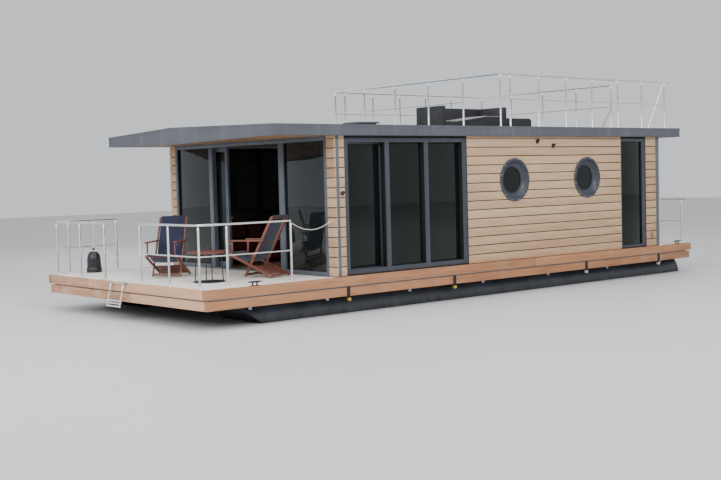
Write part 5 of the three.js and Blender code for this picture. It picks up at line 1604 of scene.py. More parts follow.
def soffit():
    bm = bmesh.new()
    bm.faces.layers.float.new("tone")
    rng = random.Random(12)
    half, wide = CORE_HALF, 2 * CORE_HALF / SOFFIT_COUNT
    for k in range(SOFFIT_COUNT):
        y0, y1 = -half + k * wide + 0.002, -half + (k + 1) * wide - 0.002
        tone = rng.random()
        for low, high in ((CORE_STERN, BACK + 0.06), (FRONT - 0.05, 99)):
            start = len(bm.faces)
            add_prism(bm, core_polygon(low, high, y0, y1), *SOFFIT_Z)
            tone_faces(bm, start, tone)
    for sign in (1, -1):
        start = len(bm.faces)
        low, high = sorted((sign * 2.43, sign * half))
        add_prism(bm, core_polygon(BACK + 0.064, FRONT - 0.054, low, high), *SOFFIT_Z)
        tone_faces(bm, start, 0.5)
    make("soffit_boards", bm, SOFFIT_WOOD, 30, "soffit_wood", "roof_soffit")
    bm = bmesh.new()
    add_box(bm, (BACK + 0.064, -2.428, SOFFIT_Z[0]), (FRONT - 0.054, 2.428, SOFFIT_Z[1]))
    for x in (aft(2.6), aft(4.6), aft(7.4), aft(8.8)):
        for y in (-1.2, 1.2):
            lamp = [(0, 0.045), (0.004, 0.045), (0.006, 0.04), (0.006, 0.03), (0.001, 0.028)]
            add_lathe(bm, lamp, (x, y, 3.3802), (0, 0, -1), 24)
    make("cabin_ceiling", bm, WHITE_BOARD, 30, "white_panel", "roof_soffit")
    return SOFFIT_COUNT


print("membrane", roof_membrane(), "triangles, soffit boards", soffit())

# %% [markdown]
# The hatch over the saloon is a curb with a hinged lid, a smoked dome in a rounded frame, two hinges at
# its stern edge and two catches.

# %% Roof hatch
def hatch():
    x0, x1, y0, y1, z = aft(7.23), aft(7.63), 0.3, 0.7, ROOF
    bm = bmesh.new()
    add_box(bm, (x0, y0, z + CLEAR), (x1, y1, z + 0.177), 0.006)
    add_box(bm, (x0 - 0.012, y0 - 0.012, z + CLEAR), (x1 + 0.012, y1 + 0.012, z + 0.02), 0.006)
    lid = [((x0 - 0.04, y0 - 0.04), (x1 + 0.04, y0 + 0.02)),
           ((x0 - 0.04, y1 - 0.02), (x1 + 0.04, y1 + 0.04)),
           ((x0 - 0.04, y0 + 0.021), (x0 + 0.02, y1 - 0.021)),
           ((x1 - 0.02, y0 + 0.021), (x1 + 0.04, y1 - 0.021))]
    for low, high in lid:
        add_box(bm, (*low, z + 0.1775), (*high, z + 0.21), 0.008)
    for y in (y0 + 0.09, y1 - 0.09):
        add_rod(bm, (x0 - 0.03, y - 0.04, z + 0.165), (x0 - 0.03, y + 0.04, z + 0.165), 0.012, 16)
    make("hatch_frame", bm, ROOF_GREY, 30, "black_metal", "roof_hatch")
    bm = bmesh.new()
    steps = 10
    rows = []
    for i in range(steps + 1):
        row = []
        for j in range(steps + 1):
            u, v = i / steps, j / steps
            crown = (1 - (2 * u - 1) ** 4) * (1 - (2 * v - 1) ** 4)
            across, along = x0 + 0.005 + u * (x1 - x0 - 0.01), y0 + 0.005 + v * (y1 - y0 - 0.01)
            row.append(bm.verts.new((across, along, z + 0.196 + 0.024 * crown)))
        rows.append(row)
    for i in range(steps):
        for j in range(steps):
            bm.faces.new((rows[i][j], rows[i + 1][j], rows[i + 1][j + 1], rows[i][j + 1]))
    bmesh.ops.solidify(bm, geom=bm.faces[:], thickness=0.005)
    dome = make("hatch_dome", bm, FRONT_GLASS, 60, "pane", "roof_hatch")
    return triangles(dome)


print("hatch dome", hatch(), "triangles")
# %% [markdown]
# All rails are one pattern of polished tube. A post stands on a round flange with three bolts, runs full
# width almost to the top and ends in a short cone under the handrail. Handrail and middle rail come from
# the tube tree, which rounds the corners; posts and flanges are turned; bolts come from the fastener tree.

# %% Helpers for rails
EYE_RING, EYE_WIRE = 0.0065, 0.0028


def post_profile(high):
    foot = [(0.001, 0.042), (0.01, 0.042), (0.0135, 0.038), (0.0138, 0.024), (0.02, 0.0185), (0.026, TUBE)]
    head = [(0.086, TUBE), (0.082, 0.0185), (0.076, 0.0185), (0.072, TUBE), (0.046, 0.0085),
            (0.023, 0.0085)]
    return foot + [(high - below, radius) for below, radius in head]


def make_rail(name, base, line, posts, mid=None, extra=(), eyes=()):
    """line is the handrail's plan, posts the feet, mid the runs of the middle rail, eyes (place, way)."""
    high, middle = ROOF_RAIL if base == ROOF else DECK_RAIL
    top = [(x, y, base + high - TUBE) for x, y in line]
    meshes = [tubes(name + "_hand", [top], TUBE, STAINLESS, 0.045, 20)]
    runs = [[(x, y, base + middle) for x, y in run] for run in mid or [line]]
    meshes.append(tubes(name + "_mid", runs + list(extra), 0.0102, STAINLESS, 0.03, 14))
    bm = bmesh.new()
    bolts = []
    for x, y in posts:
        add_lathe(bm, post_profile(high), (x, y, base), (0, 0, 1), 20)
        for k in range(3):
            angle = 2 * math.pi * k / 3 + 0.4
            bolts.append(((x + 0.032 * math.cos(angle), y + 0.032 * math.sin(angle), base + 0.012),
                          (0, 0, 1)))
    for place, way in eyes:
        add_eye(bm, place, way)
    meshes += [mesh_from_bm(name + "_stand", bm, STAINLESS, smooth=40),
               fasteners(name, bolts, 0.0045, STAINLESS)]
    return triangles(settle(merge(name + "_tubes", meshes), "boat", "stainless", (name,)))


def add_eye(bm, place, way):
    """A pad eye for a rope: a short peg with a ring, no longer than the solid model's peg."""
    place, way = Vector(place), Vector(way)
    add_rod(bm, place, place + way * 0.02, 0.0055, 12)
    side = Vector((0, 0, 1))
    centre = place + way * 0.0245
    rings = []
    for k in range(20):
        angle = 2 * math.pi * k / 20
        out = way * math.cos(angle) + side * math.sin(angle)
        across = way.cross(side)
        ring = []
        for j in range(8):
            turn = 2 * math.pi * j / 8
            reach = out * (EYE_RING + EYE_WIRE * math.cos(turn))
            ring.append(bm.verts.new(centre + reach + across * EYE_WIRE * math.sin(turn)))
        rings.append(ring)
    join_rows(bm, rings, closed=True)


print("rail helpers ready")

# %% Deck rails
GATE_Z = DECK + 0.88
for side, sign in SIDES:
    out, front, along = TERRACE[side]
    posts = [(TERRACE_X, sign * y) for y in (front[1], front[0], out)] + [(x, sign * out) for x in along]
    eyes = [((TERRACE_X, sign * (front[1] - 0.017), DECK + 0.465), (0, -sign, 0)),
            ((along[1] - 0.017, sign * out, GATE_Z), (-1, 0, 0))]
    plan = [posts[0], posts[2], posts[4]]
    print("terrace rail", side, make_rail("terrace_rail_" + side, DECK, plan, posts, eyes=eyes),
          "triangles")
    plan = [(STERN_RAIL_X, sign * (GATE_Y + 0.11)), (STERN_RAIL_X, sign * 0.68)]
    posts = [(STERN_RAIL_X, sign * y) for y in (GATE_Y, 1.5, 0.68)]
    mid = [[(STERN_RAIL_X, sign * GATE_Y), (STERN_RAIL_X, sign * 0.68)]]
    eyes = [((STERN_RAIL_X + 0.017, sign * GATE_Y, GATE_Z), (1, 0, 0))]
    print("stern rail", side, make_rail("stern_rail_" + side, DECK, plan, posts, mid, eyes=eyes),
          "triangles")

# %% [markdown]
# Roof rails stand round the sun deck. The port run carries on past the last post with a diagonal brace.

# %% Roof rails
RAIL_Y, RAIL_FORE, RAIL_AFT = 2.33, aft(5.68), aft(1.21)
PORT_POSTS = [aft(v) for v in (5.42, 4.63, 3.84, 3.05, 2.23, 1.44, 0.65)]
CROSS = (1.4, 0.47, -0.47, -1.4)


def roof_rails():
    made = {}
    high = ROOF + ROOF_RAIL[0] - TUBE
    port = [(x, RAIL_Y) for x in [RAIL_FORE, *PORT_POSTS]]
    brace = [[(aft(1.25), RAIL_Y, ROOF + 0.02), (aft(0.67), RAIL_Y, high)]]
    made["port"] = make_rail("roof_rail_port", ROOF, [port[0], (aft(0.48), RAIL_Y)], port,
                             [[port[0], port[-1]]], brace)
    inset = RAIL_Y - 0.044
    front = [(RAIL_FORE, y) for y in CROSS]
    made["front"] = make_rail("roof_rail_front", ROOF, [(RAIL_FORE, inset), (RAIL_FORE, -inset)], front,
                              [[(RAIL_FORE, 1.4), (RAIL_FORE, -1.4)]])
    starboard = [(x, -RAIL_Y) for x in [RAIL_FORE, *PORT_POSTS[:5], RAIL_AFT]]
    made["starboard"] = make_rail("roof_rail_starboard", ROOF, [starboard[0], starboard[-1]], starboard)
    stern = [(RAIL_AFT, y) for y in CROSS]
    brace = [[(RAIL_AFT, 1.1, ROOF + 0.02), (RAIL_AFT, 1.4, ROOF + ROOF_RAIL[1])]]
    made["stern"] = make_rail("roof_rail_stern", ROOF, [(RAIL_AFT, 1.4), (RAIL_AFT, -inset)], stern,
                              [[(RAIL_AFT, 1.4), (RAIL_AFT, -1.4)]], brace)
    return made


print("roof rails", roof_rails())

# %% [markdown]
# The wall carries the other end of the gate ropes on pad eyes. A pressed steel ferrule ends each rope.

# %% Wall eyes and rope ends
def rope_ends():
    bm = bmesh.new()
    for sign in (1, -1):
        for x, way in ((FRONT, 1), (BACK, -1)):
            place = Vector((x, sign * GATE_Y, GATE_Z))
            add_lathe(bm, [(0, 0.022), (0.004, 0.022), (0.006, 0.018), (0.0065, 0.006)], place, (way, 0, 0),
                      20)
            add_eye(bm, place, (way, 0, 0))
    make("wall_eyes", bm, STAINLESS, 40, "stainless")
    bm = bmesh.new()
    for ends in ROPES.values():
        route = hanging_points(*ends, 60)
        for tip, second in ((route[0], route[2]), (route[-1], route[-3])):
            way = (second - tip).normalized()
            back = tip - way * 0.004
            add_lathe(bm, [(0, 0.003), (0.003, 0.0075), (0.012, 0.0082), (0.03, 0.0082), (0.034, 0.0068)],
                      back, way, 16)
    ends = make("rope_ferrules", bm, STAINLESS, 40, "stainless")
    return triangles(ends)


print("rope ferrules", rope_ends(), "triangles")

# %% [markdown]
# Ladders are tube as well: the bow ladder is telescopic, leans out from a pin and folds up, the roof ladder
# stands on the aft deck and is held to the roof edge by two stays.

# %% Ladders
def bow_ladder():
    """Pushed together: inner tubes hide in the outer ones and the rungs lie close above the foot."""
    high, low = Vector((BOW + 0.03, 0, DECK - 0.013)), Vector((BOW + 0.116, 0, DECK - 0.382))
    sides = [Vector((0, y, 0)) for y in (-0.2, 0.2)]
    rungs = [low.lerp(high, t) for t in (0.02, 0.14, 0.245)]
    bars = (("stiles", [[high + side, low + side] for side in sides], 0.0142, 20),
            ("pin", [[high + side * 1.0975 for side in sides]], 0.0115, 18),
            ("rungs", [[rung + side for side in sides] for rung in rungs], 0.0118, 16))
    meshes = [tubes("bow_ladder_" + part, runs, radius, STAINLESS, 0.0, count) for part, runs, radius,
              count in bars]
    bm = bmesh.new()
    way = (high - low).normalized()
    for side in sides:
        sleeve = [(0, 0.0145), (0.002, 0.0158), (0.235, 0.0158), (0.239, 0.0145)]
        add_lathe(bm, sleeve, rungs[2] + side + way * 0.022, way, 20)
    meshes.append(mesh_from_bm("bow_ladder_sleeves", bm, STAINLESS, smooth=40))
    bm = bmesh.new()
    collar = [(0, 0.0145), (0.001, 0.0158), (0.03, 0.0158), (0.031, 0.0145)]
    for side in sides:
        for rung in rungs:
            add_lathe(bm, collar, rung + side - way * 0.0155, way, 20)
    for rung in rungs:
        ribs = []
        for k in range(34):
            along = 0.02 + k * 0.01
            ribs += [(along, 0.0122), (along + 0.003, 0.0128), (along + 0.006, 0.0128),
                     (along + 0.009, 0.0122)]
        add_lathe(bm, ribs, rung + sides[0], (0, 1, 0), 16)
    grips = make("bow_ladder_collars", bm, WHITE_BOARD, 40, "black_metal", "bow_ladder", body="bow_ladder")
    steel = settle(merge("bow_ladder_tubes", meshes), "bow_ladder", "stainless", ("bow_ladder",))
    return triangles(steel) + triangles(grips)


def roof_ladder():
    x, low, high = aft(0.33), DECK + CLEAR, ROOF + 0.04
    rungs = [low + (high - low) * k / 8 for k in range(1, 8)]
    stiles = [[(x, y, low + 0.012), (x, y, high)] for y in (1.55, 1.95)]
    meshes = [tubes("roof_ladder_stiles", stiles, 0.0198, STAINLESS, 0.0, 20)]
    meshes.append(tubes("roof_ladder_rungs", [[(x, 1.55, z), (x, 1.95, z)] for z in rungs], 0.0158,
                        STAINLESS, 0.0, 16))
    bm = bmesh.new()
    for y in (1.55, 1.95):
        add_lathe(bm, [(0, 0.045), (0.008, 0.045), (0.012, 0.04), (0.012, 0.022)], (x, y, low), (0, 0, 1),
                  24)
        add_rod(bm, (x, y, 3.46), (aft(0.386) - 0.001, y, 3.46), 0.009, 12)
        add_lathe(bm, [(0, 0.024), (0.004, 0.024), (0.005, 0.02)], (aft(0.386) - 0.0005, y, 3.46),
                  (-1, 0, 0), 20)
        add_lathe(bm, [(0, 0.0198), (0.006, 0.017), (0.009, 0.008)], (x, y, high - 0.006), (0, 0, 1), 20)
    meshes.append(mesh_from_bm("roof_ladder_stand", bm, STAINLESS, smooth=40))
    return triangles(settle(merge("roof_ladder_tubes", meshes), "boat", "stainless", ("roof_ladder",)))


print("bow ladder", bow_ladder(), "roof ladder", roof_ladder(), "triangles")
# %% [markdown]
# Two folding chairs and a round table stand on the terrace. A chair's sides are two crossing legs: one runs
# from the foot up to the back, the other from the foot up to the seat, and slats join them across. The
# sling is one length of navy cloth, pulled tight from the head bar down the back and over the seat.

# %% Chair frames
CHAIRS = {"chair_middle": (aft(11.2), -0.14, 42), "chair_port": (aft(10.29), 1.17, -69)}
CHAIR_HALF, CHAIR_BASE = 0.268, DECK + CLEAR - 0.009
BACK_TOP, BACK_FOOT = Vector((-0.43, 0, 0.985)), Vector((0.11, 0, 0.03))
SEAT_FRONT, SEAT_FOOT = Vector((0.39, 0, 0.385)), Vector((-0.42, 0, 0.03))


def add_bar(bm, start, end, wide, thick, across=(0, 1, 0), bevel=0.003):
    """A squared bar between two points; thick is measured along `across`."""
    start, end, across = Vector(start), Vector(end), Vector(across).normalized()
    way = (end - start).normalized()
    third = way.cross(across)
    before = set(bm.verts)
    add_box(bm, (0, -thick / 2, -wide / 2), ((end - start).length, thick / 2, wide / 2), bevel)
    turn = Matrix((way, across, third)).transposed().to_4x4()
    made = [vert for vert in bm.verts if vert not in before]
    bmesh.ops.transform(bm, matrix=Matrix.Translation(start) @ turn, verts=made)


def chair_frame(bm):
    inner, outer = CHAIR_HALF - 0.0355, CHAIR_HALF - 0.012
    for sign in (1, -1):
        add_bar(bm, BACK_TOP + Vector((0, sign * inner, 0)), BACK_FOOT + Vector((0, sign * inner, 0)),
                0.042, 0.022)
        add_bar(bm, SEAT_FRONT + Vector((0, sign * outer, 0)), SEAT_FOOT + Vector((0, sign * outer, 0)),
                0.042, 0.022)
        arm = sign * (CHAIR_HALF - 0.019)
        add_bar(bm, (-0.27, arm, 0.606), (0.4, arm, 0.606), 0.026, 0.056, bevel=0.008)
        add_bar(bm, (0.358, sign * inner, 0.372), (0.345, sign * inner, 0.594), 0.034, 0.022)
    for place, wide, across, reach in ((BACK_TOP.lerp(BACK_FOOT, 0.012), 0.05, (0.87, 0, 0.49), 0.222),
                                       (BACK_FOOT.lerp(BACK_TOP, 0.03), 0.04, (0.87, 0, 0.49), 0.222),
                                       (SEAT_FRONT.lerp(SEAT_FOOT, 0.02), 0.04, (-0.4, 0, 0.92), 0.246)):
        add_bar(bm, place + Vector((0, -reach, 0)), place + Vector((0, reach, 0)), wide, 0.02, across)
    reach, way = 0.236, (SEAT_FRONT - SEAT_FOOT).normalized()
    for k in range(5):
        place = SEAT_FOOT.lerp(SEAT_FRONT, 0.02 + 0.09 * k) + Vector((0, 0, 0.016))
        add_bar(bm, place + Vector((0, -reach, 0)), place + Vector((0, reach, 0)), 0.05, 0.012,
                way.cross((0, 1, 0)))


def stand_at(name, bm):
    x, y, turn = CHAIRS[name]
    place = Matrix.Translation((x, y, CHAIR_BASE)) @ Matrix.Rotation(math.radians(turn), 4, "Z")
    bmesh.ops.transform(bm, matrix=place, verts=bm.verts)


def make_chair(name):
    bm = bmesh.new()
    chair_frame(bm)
    stand_at(name, bm)
    frame_piece = make(name + "_frame", bm, TEAK, 30, "teak", name)
    bm = bmesh.new()
    places = [BACK_TOP.lerp(BACK_FOOT, 0.62), Vector((0.352, 0, 0.557)), Vector((0.366, 0, 0.39)),
              SEAT_FOOT.lerp(SEAT_FRONT, 0.05)]
    for sign in (1, -1):
        for place in places:
            start = place + Vector((0, sign * (CHAIR_HALF - 0.005), 0))
            add_lathe(bm, [(0, 0.008), (0.002, 0.008), (0.004, 0.005)],
                      start + Vector((0, sign * 0.004, 0)), (0, sign, 0), 14)
    stand_at(name, bm)
    make(name + "_bolts", bm, STAINLESS, 40, "stainless")
    return triangles(frame_piece)


for name in CHAIRS:
    print(name, make_chair(name), "triangles")

# %% [markdown]
# The sling's line is a smooth curve through its hold points: the head bar, the slack above the seat, the
# lowest part of the seat and the front bar, where it turns over. Both side hems are folded double. Its UV
# map runs in metres along and across, so the weave keeps its scale.

# %% Chair slings
SLING_LINE = [(-0.446, 0.966), (-0.437, 0.996), (-0.412, 0.993), (-0.31, 0.80), (-0.175, 0.545),
              (-0.075, 0.345), (0.015, 0.272),
              (0.13, 0.268), (0.27, 0.325), (0.385, 0.405), (0.412, 0.402), (0.404, 0.378)]
SLING_HALF = 0.205


def smooth_line(points, steps=8):
    """Catmull-Rom through the points."""
    pts = [Vector(p) for p in points]
    pts = [2 * pts[0] - pts[1], *pts, 2 * pts[-1] - pts[-2]]
    line = []
    for a, b, c, d in zip(pts, pts[1:], pts[2:], pts[3:]):
        for k in range(steps):
            t = k / steps
            square, cube = 2 * a - 5 * b + 4 * c - d, 3 * b - a - 3 * c + d
            line.append(0.5 * (2 * b + (c - a) * t + square * t * t + cube * t ** 3))
    return line + [pts[-2]]


def make_sling(name):
    line = smooth_line(SLING_LINE)
    runs = [0.0]
    for a, b in zip(line, line[1:]):
        runs.append(runs[-1] + (b - a).length)
    columns = 20
    bm = bmesh.new()
    uv = bm.loops.layers.uv.new("UVMap")
    rows = []
    for k, point in enumerate(line):
        ahead = (line[min(k + 1, len(line) - 1)] - line[max(k - 1, 0)]).normalized()
        out = Vector((-ahead.y, ahead.x))
        row = []
        for j in range(columns + 1):
            across = 2 * j / columns - 1
            free = math.sin(math.pi * runs[k] / runs[-1])
            dip = -0.012 * free * (1 - across * across)
            hem = 0.0012 if abs(across) > 0.88 else 0.0
            place = point + out * (dip + hem)
            row.append((bm.verts.new((place.x, across * SLING_HALF, place.y)),
                        (across * SLING_HALF, runs[k])))
        rows.append(row)
    for low, high in zip(rows, rows[1:]):
        for j in range(columns):
            corners = (low[j], low[j + 1], high[j + 1], high[j])
            face = bm.faces.new([vert for vert, _ in corners])
            for loop, (_, spot) in zip(face.loops, corners):
                loop[uv].uv = spot
    stand_at(name, bm)
    sling = piece_from_bm(name + "_sling", bm, SLING, smooth=60)
    cloth_wall = sling.modifiers.new("thickness", "SOLIDIFY")
    cloth_wall.thickness, cloth_wall.offset = 0.0024, 0.0
    settle(sling, "boat", "teak", (name,))
    return runs[-1]


for name in CHAIRS:
    print(name, "sling", round(make_sling(name), 3), "m long")

# %% [markdown]
# The table is a teak disc of slats in a round rim on a dark stand, four legs leaning out to a base plate.
# The fender stands in the terrace's starboard corner, a ribbed rubber bell on a wider foot, with an eye.

# %% Table and fender
def make_table():
    x, y = aft(11.33), 1.29
    top, foot = DECK + 0.4803, DECK + CLEAR
    bm = bmesh.new()
    bm.faces.layers.float.new("tone")
    for k in range(9):
        y0, y1 = -0.3 + k * 0.0667 + 0.002, -0.3 + (k + 1) * 0.0667 - 0.002
        half = math.sqrt(max(0.303 ** 2 - max(abs(y0), abs(y1)) ** 2, 0.0025))
        start = len(bm.faces)
        add_box(bm, (x - half, y + y0, top - 0.018), (x + half, y + y1, top), 0.002)
        tone_faces(bm, start, (k * 0.37) % 1)
    start = len(bm.faces)
    inner, outer = 0.293, 0.32
    turn = [2 * math.pi * k / 64 for k in range(64)]
    rim = ((inner, top - 0.028), (outer, top - 0.028), (outer, top - 0.003), (outer - 0.003, top),
           (inner, top))
    rings = [[bm.verts.new((x + r * math.cos(a), y + r * math.sin(a), z)) for a in turn] for r, z in rim]
    join_rows(bm, rings, closed=True)
    tone_faces(bm, start, 0.6)
    wood = make("terrace_table_top", bm, TEAK, 30, "teak", "terrace_table")
    bm = bmesh.new()
    add_lathe(bm, [(0, 0.25), (0.009, 0.25), (0.014, 0.244), (0.014, 0.0)], (x, y, foot), (0, 0, 1), 64)
    for k in range(4):
        angle = math.radians(45 + 90 * k)
        way = Vector((math.cos(angle), math.sin(angle), 0))
        add_rod(bm, Vector((x, y, foot + 0.013)) + way * 0.222, Vector((x, y, top - 0.028)) + way * 0.2,
                0.009, 16)
        hub = Vector((x, y, top - 0.034))
        add_bar(bm, hub + way * 0.21, hub - way * 0.01, 0.012, 0.02, way.cross((0, 0, 1)))
    make("terrace_table_stand", bm, BLACK_METAL, 40, "black_metal", "terrace_table")
    return triangles(wood)


def make_fender():
    start = (FENDER_X, FENDER_Y, DECK + CLEAR)
    body = [(0, 0), (0.001, 0.125), (0.006, 0.1355), (0.016, 0.1375), (0.026, 0.131), (0.036, 0.1375),
            (0.052, 0.1375), (0.066, 0.134), (0.078, 0.1265)]
    rib = ((0, 0), (0.028, 0), (0.0305, 0.003))
    body += [(0.085 + 0.033 * k + rise, 0.125 - 0.0009 * k - dip) for k in range(5) for rise, dip in rib]
    body += [(0.25, 0.1205), (0.295, 0.11), (0.335, 0.0935), (0.358, 0.075), (0.374, 0.057), (0.381, 0.035),
             (0.384, 0.022), (0.39, 0.0205), (0.43, 0.0205), (0.438, 0.016), (0.44, 0)]
    bm = bmesh.new()
    add_lathe(bm, body, start, (0, 0, 1), 56)
    fender = make("fender_body", bm, FENDER_RUBBER, 50, "fender_rubber", "fender")
    return triangles(fender)


print("table", make_table(), "fender", make_fender(), "triangles")
# %% [markdown]
# Padded pieces are stuffed by the cloth solver: a rounded block slightly smaller than the pad is remeshed
# evenly, blown up by pressure with gravity off for twenty frames, and no point may travel further than a
# cap. What lies on a seat keeps a flat underside.

# %% Helper for stuffed pads
def stuffed(name, low, high, material, cap=0.014, voxel=0.012, pressure=4.0, lean=None, fill=0.6,
            radius=0.03):
    """A pad between two corners; lean moves its points after it is made, to follow a slope."""
    bm = bmesh.new()
    inset = cap * 0.6
    low, high = Vector(low), Vector(high)
    add_box(bm, low + Vector((inset, inset, 0)), high - Vector((inset, inset, inset)),
            min(radius, (high.z - low.z) * 0.4))
    block = piece_from_bm(name + "_block", bm, material, smooth=80)
    even = block.modifiers.new("even", "REMESH")
    even.mode, even.voxel_size, even.use_smooth_shade = "VOXEL", voxel, True
    soft = block.modifiers.new("swell", "CLOTH")
    soft.settings.use_pressure = True
    soft.settings.uniform_pressure_force = pressure
    soft.settings.effector_weights.gravity = 0.0
    bpy.context.view_layer.update()
    start = [vert.co.copy() for vert in evaluated_mesh(block, 1).vertices]
    for frame_number in range(1, 21):
        bpy.context.scene.frame_set(frame_number)
    mesh = evaluated_mesh(block, 20)
    for vert, home in zip(mesh.vertices, start):
        move = vert.co - home
        vert.co = home + move * min(1.0, cap / max(move.length, 1e-9))
    bpy.context.scene.frame_set(1)
    bpy.data.objects.remove(block)
    mesh.name = name
    pad = piece_from(name, mesh)
    rounder = pad.modifiers.new("round", "SUBSURF")
    rounder.levels = rounder.render_levels = 1
    mesh = bpy.data.meshes.new_from_object(pad.evaluated_get(bpy.context.evaluated_depsgraph_get()))
    pad.modifiers.clear()
    pad.data = mesh
    for vert in mesh.vertices:
        vert.co.z = max(vert.co.z, low.z)
        if lean:
            vert.co = lean(vert.co.copy())
    mesh.materials.clear()
    mesh.materials.append(material)
    mesh.shade_smooth()
    return pad


def evaluated_mesh(piece, frame_number):
    if bpy.context.scene.frame_current != frame_number:
        bpy.context.scene.frame_set(frame_number)
    return bpy.data.meshes.new_from_object(piece.evaluated_get(bpy.context.evaluated_depsgraph_get()))


print("pad helper ready")

# %% [markdown]
# The day bed on the roof is woven from flat dark strands over a frame with rounded edges, on short feet.
# Each panel has a UV map in metres from its own side, so that the weave runs level on every face. A thin
# pale mattress in three sections follows the seat, which rises to the head end.

# %% Woven day bed
RATTAN = cloth("dark_weave", colour(0.026, 0.027, 0.03), 42.0, by_uv=True, rough=(0.45, 0.65), sheen=0.0,
               relief=0.002, fade=0.6)
BED_X, BED_Y = (aft(4.14), aft(2.156)), (-1.5, -0.7)
BED_Z, BED_WALL, BED_BACK = ROOF + CLEAR, 0.1, 0.66


def level_uv(bm):
    """Metres along and up each face, taken from the side that the face looks to."""
    uv = bm.loops.layers.uv.verify()
    bm.normal_update()
    for face in bm.faces:
        ways = [abs(c) for c in face.normal]
        u, v = ((1, 2), (0, 2), (0, 1))[ways.index(max(ways))]
        for loop in face.loops:
            loop[uv].uv = (loop.vert.co[u], loop.vert.co[v])


def seat_height(x):
    """Height of the seat's top over the roof: low at the bow end, then rising to the head end."""
    t = (aft(3.68) - x) / (aft(3.68) - aft(2.76))
    return 0.36 + 0.115 * min(1.0, max(0.0, t))


def day_bed():
    foot, z = BED_Z + 0.03, BED_Z
    x1, x0 = BED_X
    y0, y1 = BED_Y
    bm = bmesh.new()
    add_box(bm, (x0, y0, foot), (x1, y0 + BED_WALL, z + BED_BACK), 0.02)
    for low in (x0, x1 - BED_WALL):
        add_box(bm, (low, y0 + 0.09, foot), (low + BED_WALL, y1, z + BED_BACK), 0.02)
    seat = [(x0 + 0.09, foot), (x1 - 0.09, foot)]
    seat += [(x, z + seat_height(x) - 0.035) for x in (x1 - 0.09, aft(3.68), aft(2.76), x0 + 0.09)]
    add_slab(bm, seat, y0 + 0.09, y1 - 0.03)
    add_box(bm, (aft(1.276), -1.45, foot), (aft(2.146), -0.75, z + 0.4), 0.02)
    level_uv(bm)
    woven = make("day_bed_weave", bm, RATTAN, 40, "rattan", "roof_lounge")
    bm = bmesh.new()
    for x in (x0 + 0.06, (x0 + x1) / 2, x1 - 0.06, aft(1.34), aft(2.08)):
        for y in ((y0 + 0.06, y1 - 0.06) if x > aft(2.1) else (-1.39, -0.81)):
            add_lathe(bm, [(0, 0.022), (0.004, 0.024), (0.031, 0.02)], (x, y, z), (0, 0, 1), 16)
    make("day_bed_feet", bm, BLACK_METAL, 40, "black_metal", "roof_lounge")
    return triangles(woven)


def day_bed_pads():
    total = 0
    base = BED_Z + 0.3255

    def lean(co):
        co.z += seat_height(co.x) - 0.36
        return co

    cuts = (aft(4.04), aft(3.45), aft(2.86), aft(2.256))
    for k, (high, low) in enumerate(zip(cuts, cuts[1:])):
        pad = stuffed(f"day_bed_pad_{k + 1}", (low + 0.004, -1.396, base),
                      (high - 0.004, -0.722, base + 0.024), PAD_CLOTH,
                      cap=0.005, voxel=0.0105, lean=lean, fill=0.8, radius=0.012)
        settle(pad, "boat", "rattan", ("roof_lounge",))
        total += triangles(pad)
    pad = stuffed("stool_pad", (aft(1.28), -1.445, BED_Z + 0.4005), (aft(2.142), -0.755, BED_Z + 0.43),
                  CUSHION, cap=0.004, voxel=0.0105, fill=0.8, radius=0.012)
    settle(pad, "boat", "rattan", ("roof_lounge",))
    return total + triangles(pad)


print("day bed", day_bed(), "pads", day_bed_pads(), "triangles")
# %% [markdown]
# The outboard motor. A galvanised bracket reaches back from the stern, a clamp swings up on its tilt
# tube, and the motor turns in the clamp on a vertical axis. The cowl is a rounded shell over a slim leg;
# the cavitation plate, gearcase and skeg are the leg's own forms. The propeller has three twisted blades.

# %% Motor bracket and clamp
TILT_X, TILT_Z, STEER_X, SHAFT_Z = -6.1105, 1.0, -6.1805, 0.3


def add_plate(bm, outline, half, bevel, segments=2):
    """A plate as wide as twice half, from a side outline in Z and in X from the steering axis."""
    made = add_slab(bm, [(STEER_X + x, z) for x, z in outline], -half, half)
    bevel_faces(bm, made, bevel, segments)


def motor_bracket():
    bm = bmesh.new()
    root, end = TILT_X + 0.075, STERN + 0.0247
    add_box(bm, (TILT_X + 0.04, -0.19, 0.64), (TILT_X + 0.0755, 0.19, 0.91), 0.004)
    bolts = []
    for sign in (1, -1):
        side_box(bm, sign, (TILT_X - 0.02, TILT_X + 0.0395), (0.115, 0.14), (0.7, 1.01), 0.004)
        low, high = sorted((sign * 0.13, sign * 0.17))
        add_box(bm, (root + 0.001, low, 0.835), (end, high, 0.91), 0.003)
        web = [(root + 0.001, 0.66), (root + 0.001, 0.74), (end, 0.834), (end, 0.8)]
        add_slab(bm, web, low + 0.012, high - 0.012)
        bolts += [((TILT_X + 0.04, sign * y, z), (-1, 0, 0)) for y in (0.08, 0.165) for z in (0.68, 0.87)]
        bolts += [((TILT_X, sign * 0.1405, TILT_Z - 0.06), (0, sign, 0)),
                  ((root + 0.05, sign * 0.1705, 0.872), (0, sign, 0))]
    steel = mesh_from_bm("motor_bracket_steel", bm, ZINC, smooth=30)
    joined = merge("motor_bracket_frame", [steel, fasteners("bracket_bolts", bolts, 0.009, ZINC)])
    settle(joined, "boat", "galvanised", ("motor_bracket",))
    return triangles(joined)


